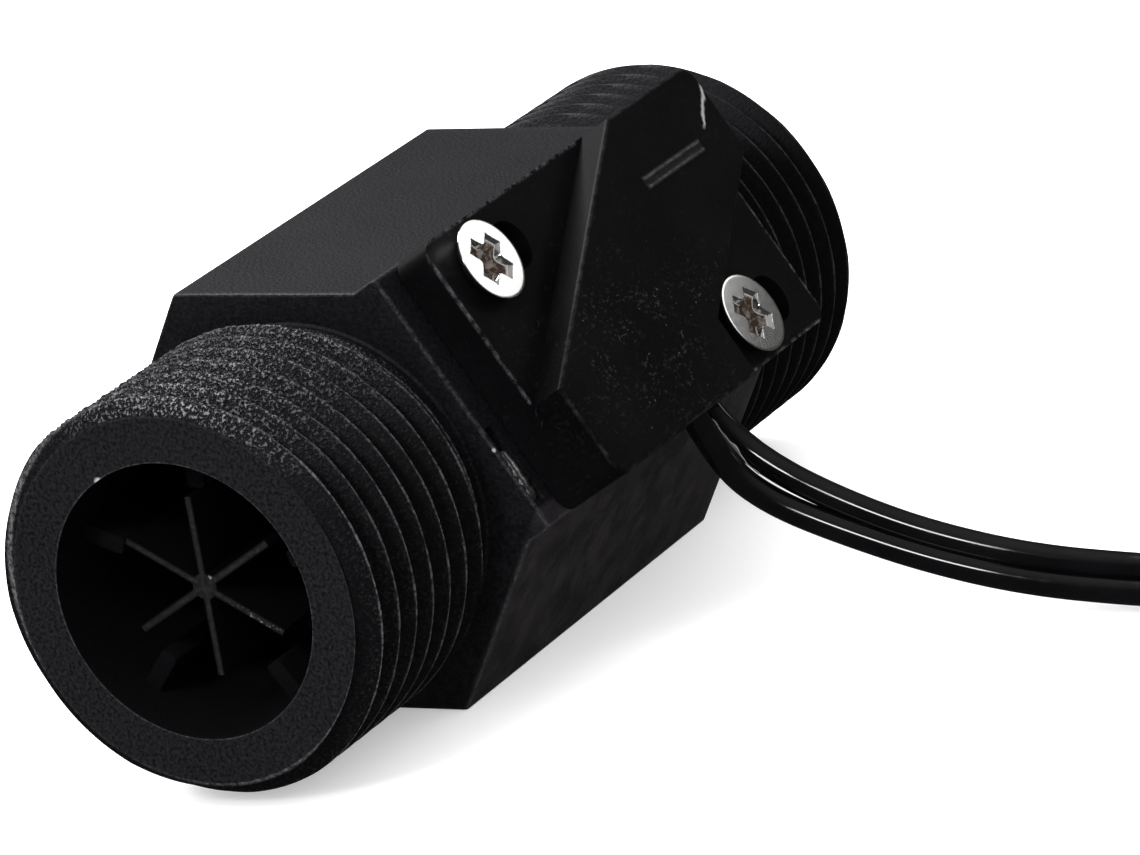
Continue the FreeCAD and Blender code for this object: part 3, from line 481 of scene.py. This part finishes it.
def return_wire():
    """A round wire carried along a helix: place = (climb(turns), r cos, r sin), closing at each end."""
    coil_radius, wire_radius, facets = 3.2, 0.25, 14
    turns = np.linspace(0, 6, 289)
    climb = np.interp(turns, [0, 1, 5, 6], [-2.05, -1.5, 8.2, 8.75])
    around = 2 * math.pi * turns
    outward = np.stack([0 * turns, np.cos(around), np.sin(around)], axis=-1)
    middle = coil_radius * outward + np.stack([climb, 0 * turns, PIPE_HEIGHT + 0 * turns], axis=-1)
    tangent = np.gradient(middle, axis=0)
    beside = np.cross(tangent / np.linalg.norm(tangent, axis=1, keepdims=True), outward)
    turn = np.linspace(0, 2 * math.pi, facets, endpoint=False)[None, :, None]
    wire = middle[:, None] + wire_radius * (outward[:, None] * np.cos(turn) + beside[:, None] * np.sin(turn))
    caps = [np.broadcast_to(middle[k], (1, facets, 3)) for k in (0, -1)]
    return np.concatenate([caps[0], wire, caps[1]])


dress("piston_magnet", ground_metal("ground_ferrite", (0.11, 0.11, 0.115), 0.55, 2600.0, (0.2, 1.0, 1.0)))
dress("retaining_ring", ground_metal("stamped_ring", (0.56, 0.56, 0.55), 0.32, 2400.0, (0.1, 1.0, 1.0)))
dress("outlet_retainer", moulded(
    "retainer_plastic", dark=(0.012, 0.012, 0.013), pale=(0.028, 0.028, 0.03), grain=2000.0, relief=0.000012,
    rough=0.42, sparkle=0.1,
))
spring = surface("return_wire", [(return_wire(), False, 0.0)])
spring.data.materials.append(ground_metal("spring_wire", (0.62, 0.61, 0.58), 0.25, 3000.0, (1.0, 1.0, 1.0)))
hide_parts("return_spring")
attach(spring, "housing")
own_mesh(spring)

# Cover: a satin black moulding that holds the reed switch. Two low corners take the screws, a raised band
# slants across between them, and a short dash is moulded on the band. Handling has left hairline scratches.
FACET = math.radians(60.0)
COVER_SHIFT, COVER_HALF = 2.0, 16.6
LOW_TOP, BAND_TOP = 16.15, 18.6
BAND_SLANT, BAND_HALF, BAND_END = math.radians(29.0), 5.69, 2.4


def on_facet(points):
    """Points given along the pipe, up the facet and out of it, turned into the part's frame."""
    x, up, out = points[..., 0], points[..., 1], points[..., 2]
    return np.stack([x, up * math.cos(FACET) - out * math.sin(FACET),
                     up * math.sin(FACET) + out * math.cos(FACET) + PIPE_HEIGHT], axis=-1)


def satin_cover():
    """Smooth black plastic: worn along its faces' edges, scratched where it is handled, dust, a pale burr.

    An edge is where a point is near two faces at once. The faces are planes in the facet's own directions.
    """
    black, soot = (0.0008, 0.0008, 0.0012, 1), (0.0024, 0.0024, 0.0030, 1)
    scratched, worn, pale = (0.035, 0.035, 0.038, 1), (0.07, 0.07, 0.075, 1), (0.24, 0.23, 0.23, 1)
    reach = 0.34 * MM

    made, shader, place = finish("satin_cover")
    x, y, z = place.split()
    along, rise = x - COVER_SHIFT * MM, z - PIPE_HEIGHT * MM
    up = y * math.cos(FACET) + rise * math.sin(FACET)
    out = rise * math.cos(FACET) - y * math.sin(FACET)
    slant = along * math.sin(BAND_SLANT) - up * math.cos(BAND_SLANT)
    side = (up.size() - PAD_HALF * MM).near(reach)
    end = (along.size() - COVER_HALF * MM).near(reach)
    lower = (slant - BAND_HALF * MM).near(reach) * along.ramp(2.3 * MM, 2.5 * MM)
    upper = (slant + BAND_HALF * MM).near(reach)
    square = (along - BAND_END * MM).near(reach) * up.ramp(-5.0 * MM, -5.4 * MM)
    top = (out - BAND_TOP * MM).near(reach)
    low_far = along.ramp(2.4 * MM, 2.6 * MM) * slant.ramp(5.69 * MM, 6.0 * MM)
    low = (slant + BAND_HALF * MM).ramp(0.0, -0.3 * MM).most(low_far)
    low_edge = (out - LOW_TOP * MM).near(reach) * side.most(end) * low
    edge = (top * side.most(end, lower, upper, square)).ramp(0.25, 0.85) * 0.3
    edge = edge.most(low_edge.ramp(0.25, 0.85) * 0.8) * place.noise(1300.0, 4.0, 0.75).ramp(0.42, 0.62)

    slow = place.noise(120.0, 3.0)
    handled = (along + 4.0 * MM).near(14.0 * MM) * (up + 3.5 * MM).near(8.0 * MM)
    handled = handled.ramp(0.05, 0.6) * 0.85 + 0.15
    lines = place.stretched((0.5, 1.6, 1.0)).noise(3300.0, 2.0).ramp(0.60, 0.70)
    across = place.stretched((1.7, 0.45, 1.0)).noise(3100.0, 2.0).ramp(0.61, 0.71)
    marks = lines.most(across) * handled * place.noise(420.0, 2.0).ramp(0.38, 0.62)
    dust = place.noise(2700.0, 2.0).ramp(0.70, 0.76) * handled * 0.16
    far, high = along - 15.3 * MM, up - 6.7 * MM
    ragged = far * 0.63 - high * 0.78 + (place.noise(800.0, 3.0) - 0.5) * (0.8 * MM)
    burr = ragged.near(0.2 * MM) * (far * 0.78 + high * 0.63).near(2.2 * MM).ramp(0.0, 0.3) * top

    tone = slow.ramp(0.3, 0.7).between(black, soot)
    tone = (marks * 0.4).between(tone, scratched)
    tone = (edge * 0.8).between(tone, worn)
    tone = dust.most(burr * 0.9).between(tone, pale)
    skin = place.noise(2600.0, 3.0) + place.noise(800.0, 2.0) * 0.7 + marks * 0.5
    feed(shader, Base_Color=tone, Roughness=0.44 + slow * 0.18 + dust * 0.2 - edge * 0.1,
         Normal=skin.bump(0.000025, 0.6), Specular_IOR_Level=0.09)
    return made


def cover_dash():
    """The moulded dash: a low bar with two ridges along it, bells across its top, drawn down at both ends.

    The second array is its wear, on top of the ridges.
    """
    start, stop, up, half_wide, taper = 6.25, 14.4, 4.55, 0.5, 0.25
    low, ridge_high, ridge_at, ridge_wide, sunk = 0.05, 0.11, 0.3, 0.11, 0.1
    along = np.concatenate([
        [start], np.linspace(start, start + taper, 4), np.linspace(6.9, 13.7, 14),
        np.linspace(stop - taper, stop, 4), [stop],
    ])
    turn = np.linspace(0, 2 * math.pi, 48, endpoint=False)
    across = -half_wide * np.cos(turn)
    ridges = np.exp(-(((np.abs(across) - ridge_at) / ridge_wide) ** 2))
    tall = np.where(np.sin(turn) > 0, low + ridge_high * ridges, -sunk)
    ends = np.clip(np.minimum(along - start, stop - along) / taper, 0, 1)[:, None]
    wide = np.concatenate([[0], np.ones(len(along) - 2), [0]])[:, None]
    out = BAND_TOP + tall * (0.35 + 0.65 * ends) * wide
    points = np.stack([along[:, None] + 0 * turn, across * wide + up, out], axis=-1)
    return points, ridges * (tall > 0) * ends


dress("cover", satin_cover())
dash_points, dash_wear = cover_dash()
dash = surface("cover_dash", [(on_facet(dash_points), False, dash_wear)])
dash.data.materials.append(moulded(
    "dash_plastic", dark=(0.0012, 0.0012, 0.0015), pale=(0.003, 0.003, 0.0036), grain=2600.0, relief=0.00002,
    rough=0.45, wear_shade=0.32, sparkle=0.1,
))
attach(dash, "cover")

# Reed switch and its wiring, cast into the cover: a glass capsule with two tinned blades, crimped brass
# ferrules under shrunk sleeves, and the cord's two parted cores, all held by black resin.


def clear_glass():
    """Thin greenish glass with a faint cloud in it."""
    made, shader, place = finish("reed_glass")
    cloud = place.noise(500.0, 2.0)
    tone = cloud.between((0.62, 0.84, 0.72, 1), (0.78, 0.92, 0.84, 1))
    feed(shader, Base_Color=tone, Roughness=0.04 + cloud * 0.06, Transmission_Weight=0.9)
    return made


def glossy_black(name, dark, pale, rough):
    """Glossy black plastic or resin: slow ripples from its making, dull finger marks, pale where torn and on
    painted highlight lines.
    """
    made, shader, place = finish(name)
    slow = place.noise(180.0, 2.0)
    marks = place.noise(620.0, 3.0).ramp(0.5, 0.7)
    tone = slow.ramp(0.3, 0.7).between((*dark, 1), (*pale, 1))
    # The mesh's wear makes it pale: where torn, and on the resin bead as painted highlight lines.
    tone = place.wear().between(tone, (0.22, 0.21, 0.21, 1))
    feed(shader, Base_Color=tone, Roughness=rough + marks * 0.06, Normal=slow.bump(0.00003, 0.3),
         Specular_IOR_Level=0.5)
    return made


dress("reed_glass", clear_glass())
tinned = ground_metal("tinned_wire", (0.66, 0.65, 0.61), 0.3, 2600.0, (1.0, 1.0, 0.2))
brass = ground_metal("crimped_brass", (0.72, 0.54, 0.24), 0.3, 2400.0, (1.0, 0.3, 1.0))
sleeve = glossy_black("shrunk_sleeve", (0.012, 0.012, 0.012), (0.024, 0.024, 0.024), 0.5)
insulation = glossy_black("lead_insulation", (0.0008, 0.0008, 0.001), (0.002, 0.002, 0.0024), 0.09)
for side in ("near", "far"):
    dress(f"reed_lead_{side}", tinned)
    dress(f"splice_{side}", brass)
    dress(f"sleeve_{side}", sleeve)
    dress(f"core_{side}", insulation)
dress("potting", glossy_black("cast_resin", (0.006, 0.006, 0.007), (0.014, 0.014, 0.015), 0.3))

# Resin bead: a smear of the casting resin that ran into the lever notch beside the cover and set there,
# glossy and lumpy. It lies in the notch and on its thin outer lip, below the level that the cover slides at.


def resin_bead():
    """A drawn-out smear: half width and middle wander by sums of sines along its run, and both ends draw in.

    The section is cos(turn) wide and |sin(turn)|^0.4 high, so its top is nearly flat. The second array is two
    pale lines along it, painted highlights on its glossy top: bells across the top, broken along the run.
    """
    along, out_middle, out_most = -16.12, 13.13, 13.46
    half_wide, half_high = 0.56, 0.3
    up_from, up_run = -3.8, -3.7
    run = np.linspace(0, 1, 80)[:, None]
    turn = np.linspace(0, 2 * math.pi, 48, endpoint=False)
    lump = 0.06 * np.sin(17 * run + 2 * np.sin(7 * run)) + 0.03 * np.sin(41 * run + 1.3)
    thick = np.sqrt(np.clip(1 - (2 * run - 1) ** 6, 0, 1)) * (1 + lump)
    drift = 0.04 * np.sin(6 * run + 0.6) + 0.01 * np.sin(23 * run)
    across = along + drift + half_wide * thick * np.cos(turn)
    rise = np.sign(np.sin(turn)) * np.abs(np.sin(turn)) ** 0.4
    out = out_middle + half_high * np.minimum(thick, 1) * rise + 0.02 * np.sin(33 * run) * (rise > 0.5)
    inner = np.exp(-(((np.cos(turn) - 0.1) / 0.17) ** 2)) * np.exp(-(((run - 0.35) / 0.3) ** 2))
    outer = np.exp(-(((np.cos(turn) + 0.62) / 0.17) ** 2)) * np.exp(-(((run - 0.5) / 0.4) ** 2))
    grit = 0.75 + 0.25 * np.sin(61 * run + 3 * np.sin(19 * run))
    # Painted highlights: two pale lines along the glossy top.
    pale = np.maximum(inner, 0.7 * outer) * grit * (rise > 0.3)
    points = np.stack([across, up_from + up_run * run + 0 * turn, np.minimum(out, out_most)], axis=-1)
    return points, pale


bead_points, bead_painted_highlights = resin_bead()
bead = surface("resin_bead", [(on_facet(bead_points), False, bead_painted_highlights)], sharp_angle=80.0)
bead.data.materials.append(glossy_black("wet_resin", (0.004, 0.004, 0.0045), (0.012, 0.012, 0.0125), 0.1))
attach(bead, "housing")

# Cover screws: two thin-headed M3 machine screws, bright nickel plate, with a worn cross recess. Each head is
# drawn in under its rim, and clamps the cover through one of its slots.
SCREWS = (("cover_screw_near", -10.3, 6.25, 0.66), ("cover_screw_far", 10.3, -6.25, 0.83))


def cover_screw(name, along, up, turn):
    """Height W(r, angle) of the head, less the recess: inside of a cross whose floor rises along its arms.

    The cross's line is the root of the squares' sum of two bars a quarter turn apart, each bar's line being
    the lesser of arm / |cos| and half / |sin|. The wall is a ramp of one width across that line. The rim, the
    drawn-in side and the shank are rings of one radius each.
    """
    head_radius, head_top, head_foot, neck, shank, tip = 2.8, 17.05, 16.2, 2.17, 1.5, 10.2
    arm, half, wall, floor_high, floor_fall = 1.55, 0.48, 0.22, 0.3, 0.7
    rim, crown_high, chamfer, foot_edge = 0.04, 0.012, 0.3, 0.03
    angle = np.linspace(0, 2 * math.pi, 216, endpoint=False)
    radius = [np.linspace(0, 0.4, 5), np.linspace(0.45, 1.9, 44), np.linspace(2.0, 2.6, 6)]
    radius = np.concatenate(radius)[:, None]
    cosine, sine = np.abs(np.cos(angle - turn)).clip(1e-3), np.abs(np.sin(angle - turn)).clip(1e-3)
    line = np.hypot(np.minimum(arm / cosine, half / sine), np.minimum(arm / sine, half / cosine))
    steep = (np.roll(line, -1) - np.roll(line, 1)) / (2 * angle[1] * line)
    inside = np.clip((line - radius) / (wall * np.sqrt(1 + steep ** 2)) + 0.5, 0, 1)
    cut = inside * (floor_high + floor_fall * (1 - radius / arm).clip(0))
    crown = crown_high * (1 - (radius / head_radius) ** 2)
    top = np.stack([radius * np.cos(angle), radius * np.sin(angle), head_top + crown - cut], axis=-1)

    bend = np.radians([0.0, 18.0, 36.0, 54.0, 72.0, 90.0, 112.0])
    below_radius = [neck + foot_edge, neck, shank, shank, shank - chamfer, 0.0]
    below_level = [head_foot + foot_edge, head_foot, head_foot, tip + chamfer, tip, tip]
    ring = np.concatenate([head_radius - rim + rim * np.sin(bend), below_radius])[:, None]
    level = np.concatenate([head_top - rim + rim * np.cos(bend), below_level])[:, None]
    low = np.stack([ring * np.cos(angle), ring * np.sin(angle), level + 0 * angle], axis=-1)
    points = np.concatenate([top, low]) + np.array([along, up, 0.0])
    dirt = ((inside - 0.7) / 0.3).clip(0, 1) * (1.5 - 1.1 * radius / arm).clip(0, 1)
    dirt = np.concatenate([dirt, np.zeros(low.shape[:2])])
    return surface(name, [(on_facet(points), False, dirt)], sharp_angle=28.0)


def bright_nickel():
    """Nickel plate: bright, with fine scuffs on top, and dull brown dirt down in the recess."""
    dull, bright, brown = (0.84, 0.83, 0.81, 1), (0.93, 0.92, 0.90, 1), (0.027, 0.015, 0.009, 1)
    made, shader, place = finish("bright_nickel")
    scuff = place.stretched((1.0, 0.4, 1.0)).noise(2800.0, 3.0)
    dirt = place.wear().ramp(0.1, 0.5) * (0.90 + 0.10 * place.noise(2400.0, 2.0).ramp(0.34, 0.52))
    tone = dirt.between(scuff.ramp(0.3, 0.7).between(dull, bright), brown)
    feed(shader, Base_Color=tone, Roughness=0.115 + scuff * 0.04 + dirt * 0.5, Metallic=1 - dirt,
         Normal=scuff.bump(0.000006, 0.05), Specular_IOR_Level=0.1)
    return made


nickel = bright_nickel()
for node, along, up, turn in SCREWS:
    screw = cover_screw(node + "_head", along, up, turn)
    screw.data.materials.append(nickel)
    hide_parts(node)
    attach(screw, "housing")

# Cord: a bonded twin lead, two glossy black cores side by side with a thin web between them. It leaves the
# notch under the cover, twists a quarter turn on its way to the table, and the rest is coiled and tied.
ROUTE = [
    (2.0, -17.560, 13.184), (2.0, -19.060, 10.586), (2.1, -21.8, 8.2), (2.3, -26.2, 6.1), (2.6, -31.9, 4.0),
    (2.9, -38.5, 2.45), (3.0, -45.7, 1.85), (2.6, -52.6, 1.85), (1.9, -59.0, 2.2), (1.7, -65.0, 2.55),
]
COIL_X, COIL_Y, COIL_LEVEL = 21.3, -65.0, 2.55
COIL_START, COIL_STEP, COIL_TURNS, COIL_POINTS = 19.6, 1.9, 2.25, 16
LAST_BEND, LAST_TURN = 9.0, 85.0
CORE_RADIUS, CORE_APART = 0.9, 0.78


def lead_line():
    """Points in metres along one NURBS line, which takes in the route, the coil's turns and its last curl.

    The coil is a spiral, its radius falling by one step in each turn. The curl is an arc inside the last one.
    """
    turns = np.arange(1, int(COIL_TURNS * COIL_POINTS) + 1) / COIL_POINTS
    radius = COIL_START - COIL_STEP * turns
    turn = math.pi + turns * 2 * math.pi
    coil = np.stack([COIL_X + radius * np.cos(turn), COIL_Y + radius * np.sin(turn),
                     COIL_LEVEL + 0 * turn], axis=-1)
    inner = COIL_START - COIL_STEP * COIL_TURNS
    turn = np.radians(np.linspace(0, LAST_TURN, 6)[1:] - 90)
    curl = np.stack([COIL_X + LAST_BEND * np.cos(turn), COIL_Y - inner + LAST_BEND + LAST_BEND * np.sin(turn),
                     COIL_LEVEL + 0 * turn], axis=-1)
    points = np.concatenate([ROUTE, coil, curl]) * MM
    curve = bpy.data.curves.new("lead_line", "CURVE")
    curve.dimensions = "3D"
    line = curve.splines.new("NURBS")
    line.points.add(len(points) - 1)
    line.points.foreach_set("co", np.column_stack([points, np.ones(len(points))]).ravel())
    line.order_u = 3
    line.use_endpoint_u = True
    line.resolution_u = 8
    holder = bpy.data.objects.new("lead_line", curve)
    bpy.context.scene.collection.objects.link(holder)
    made = bpy.data.meshes.new_from_object(holder)
    read = np.zeros(len(made.vertices) * 3)
    made.vertices.foreach_get("co", read)
    bpy.data.objects.remove(holder)
    bpy.data.curves.remove(curve)
    bpy.data.meshes.remove(made)
    return read.reshape(-1, 3)


def along_line(line):
    """Unit tangents of a line of points, and the distance along it."""
    tangent = np.gradient(line, axis=0)
    tangent /= np.linalg.norm(tangent, axis=1, keepdims=True)
    distance = np.concatenate([[0], np.cumsum(np.linalg.norm(np.diff(line, axis=0), axis=1))])
    return tangent, distance


def eased(share):
    """A share from 0 to 1 that starts and stops softly."""
    share = np.clip(share, 0, 1)
    return share * share * (3 - 2 * share)


def lead_sides(line):
    """Directions from the line to the far core and over both: side(s) starts along X and turns upright.

    It leans over by 62 degrees in the first millimetres, and by the last 28 before the coil.
    """
    tangent, distance = along_line(line)
    level = np.cross(tangent, [0.0, 0.0, 1.0])
    level /= np.linalg.norm(level, axis=1, keepdims=True)
    upright = np.cross(level, tangent)
    twist = 62 * eased((distance + 0.001) / 0.009) + 28 * eased((distance - 0.036) / 0.014)
    twist = np.radians(twist)[:, None]
    side = np.sign(level[0, 0]) * level * np.cos(twist) + upright * np.sin(twist)
    return side, np.cross(tangent, side), distance


def torn_web(line, side, over, distance):
    """A flap of the torn web along the cores: a thin ribbon that stands up and waves aside by sines."""
    start, stop, foot, tall_most = 0.5, 5.5, 0.3, 0.3
    stations = np.linspace(start, stop, 44)
    line_at, side_at, over_at = (
        np.stack([np.interp(stations * MM, distance, track[:, k]) for k in range(3)], axis=-1)[:, None, :]
        for track in (line, side, over)
    )
    tip = np.array([0.0, 1.0, 1.0, 0.0])
    tall = tall_most * np.sqrt(np.sin(math.pi * (stations - start) / (stop - start)).clip(0))[:, None]
    wave = (0.34 * np.sin(2.4 * stations) + 0.12 * np.sin(6.1 * stations + 1.0))[:, None]
    aside = np.array([-0.04, -0.02, 0.02, 0.04]) + wave * tall * tip
    flap = line_at / MM + over_at * (foot + tall * tip)[..., None] + side_at * aside[..., None]
    ends = [np.broadcast_to(flap[k].mean(axis=0), (1, 4, 3)) for k in (0, -1)]
    return np.concatenate([ends[0], flap, ends[1]]), False, tip


def twin_lead(line):
    """Two round cores either side of the line: place = line +- apart(s) * side(s), section a circle.

    apart(s) grows by a bell where the web is torn.
    """
    side, over, distance = lead_sides(line)
    torn = np.exp(-(((distance - 0.006) / 0.006) ** 2))[:, None]
    apart = (CORE_APART + 0.18 * torn) * MM
    turn = np.linspace(0, 2 * math.pi, 28, endpoint=False)[None, :, None]
    section = CORE_RADIUS * MM * (side[:, None, :] * np.cos(turn) + over[:, None, :] * np.sin(turn))
    grids = []
    for way in (-1, 1):
        middle = line + way * apart * side
        ring = middle[:, None, :] + section
        caps = [np.broadcast_to(middle[k], (1, ring.shape[1], 3)) for k in (0, -1)]
        grids.append((np.concatenate([caps[0], ring, caps[1]]) / MM, False, 0.0))
    return surface("twin_lead", grids + [torn_web(line, side, over, distance)])


line = lead_line()
cord_length = along_line(line)[1][-1]
lead = twin_lead(line)
lead.data.materials.append(insulation)
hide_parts("cord", "cord_coil", "cord_end")
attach(lead, "cover")

# Tinned ends and tie: the two conductors are stripped, twisted and dipped in solder. The coil is held by a
# moulded nylon tie, a flat strap that goes once round the turns and through its own catch, with a short tail.


def tie_strap():
    """A flat section carried round the coil's turns: place = corner + (bend + out) * (cos, sin) of the turn.

    Each quarter of the turn is an arc about its own corner's middle, and straight runs join them. The section
    is |out / half thickness|^5 + |y / half width|^5 = 1. The catch and the tail are soft bars on top.
    """
    low, high = (np.array(corner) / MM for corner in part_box("coil_tie"))
    thick, catch_high, sunk, bend, power = 0.6, 1.6, 0.1, 0.9, 0.4
    middle = (low + high - [0, 0, catch_high]) / 2
    reach = (high - low - [0, 0, catch_high]) / 2
    quarter = np.linspace(0.5, 89.5, 8)
    turn = np.radians(np.concatenate([start + quarter for start in (0, 90, 180, 270)]))
    flow = np.linspace(0, 2 * math.pi, 24, endpoint=False)
    out = thick / 2 * np.sign(np.cos(flow)) * np.abs(np.cos(flow)) ** power
    aside = reach[1] * np.sign(np.sin(flow)) * np.abs(np.sin(flow)) ** power
    ways = np.stack([np.cos(turn), np.sin(turn)], axis=-1)
    corner = np.sign(ways) * (reach[[0, 2]] - bend - thick / 2)
    loop = corner[:, None, :] + ways[:, None, :] * (bend + out)[None, :, None] + middle[[0, 2]]
    strap = np.stack([loop[..., 0], middle[1] + aside + 0 * loop[..., 0], loop[..., 1]], axis=-1)
    catch = soft_bar(-1.3, 1.3, reach[1], catch_high / 2 + sunk, rounding=0.25)
    catch = catch + [middle[0], middle[1], high[2] - catch_high / 2 - sunk]
    tail = soft_bar(0.9, 2.2, reach[1] - 0.25, 0.25, rounding=0.1)
    tail = tail + [middle[0], middle[1], high[2] - catch_high / 2]
    return surface("coil_tie_strap", [(strap, True, 0.0), (catch, False, 0.0), (tail, False, 0.0)])


for node in ("tinned_end_1", "tinned_end_2"):
    dress(node, tinned)
tie = tie_strap()
tie.data.materials.append(moulded(
    "tie_nylon", dark=(0.010, 0.010, 0.011), pale=(0.022, 0.022, 0.024), grain=1600.0, relief=0.00001,
    rough=0.38,
))
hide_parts("coil_tie")
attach(tie, "cover")

# Table, light and camera: a pale table in a white room, a soft box behind the part, a card in front, a small
# one that the screws return, and a long lens that looks down on the inlet. Reflections see a dim room, as
# black cloth makes it, and the table glows a little, which keeps its shadow faint.
TABLE_HALF = 3000.0
table_rim = np.array([[-1.0, -1, 0], [1, -1, 0], [1, 1, 0], [-1, 1, 0]]) * TABLE_HALF
table = surface("table", [(np.stack([table_rim, 0 * table_rim]), False, 0.0)])
paper, shader, place = finish("pale_table")
paper_tone = place.noise(30.0, 2.0).between((0.84, 0.84, 0.84, 1), (0.87, 0.87, 0.87, 1))
feed(shader, Base_Color=paper_tone, Roughness=0.7, Emission_Color=(1, 1, 1, 1), Emission_Strength=0.32)
table.data.materials.append(paper)
table.visible_glossy = False


def soft_light(name, place, target, wide, high, power):
    """A soft box at a place, facing a target."""
    lamp = bpy.data.lights.new(name, "AREA")
    lamp.shape = "RECTANGLE"
    lamp.size, lamp.size_y, lamp.energy = wide, high, power
    holder = bpy.data.objects.new(name, lamp)
    holder.location = place
    holder.rotation_euler = (Vector(target) - Vector(place)).to_track_quat("-Z", "Y").to_euler()
    bpy.context.scene.collection.objects.link(holder)


soft_light("key_box", (0.12, 0.45, 0.55), (0.0, 0.0, 0.01), 0.36, 0.36, 6.0)
soft_light("front_card", (-0.42, 0.0, 0.34), (0, -0.03, 0.01), 0.12, 0.08, 0.75)
soft_light("screw_card", (0.450, -0.302, 0.238), (0, -0.02, 0.02), 0.12, 0.12, 0.07)

ROOM_LIGHT, CLOTH_LIGHT, CEILING_LIGHT = 2.0, 0.04, 0.3
studio = bpy.data.worlds.new("studio")
studio.use_nodes = True
reflected = Flow(studio.node_tree, studio.node_tree.nodes.new("ShaderNodeLightPath").outputs["Is Glossy Ray"])
height = reflected.node("ShaderNodeTexCoord").split()[2]
strength = reflected * (CLOTH_LIGHT + height.ramp(0.5, 1.0) * CEILING_LIGHT) + (1 - reflected) * ROOM_LIGHT
feed(studio.node_tree.nodes["Background"], Color=(1, 1, 1, 1), Strength=strength)
bpy.context.scene.world = studio
bpy.context.scene.view_settings.view_transform = "Standard"

lens = bpy.data.cameras.new("lens")
lens.sensor_width = 36.0
lens.lens = 218.9
lens.clip_start, lens.clip_end = 0.01, 20.0
camera = bpy.data.objects.new("camera", lens)
right, up, back = (0.46072, -0.87233, -0.16363), (0.34675, 0.00721, 0.93793), (-0.81700, -0.48886, 0.30580)
stand = (-0.36403, -0.22678, 0.14907)
camera.matrix_world = Matrix([*zip(right, up, back, stand), (0, 0, 0, 1)])
bpy.context.scene.collection.objects.link(camera)
bpy.context.scene.camera = camera
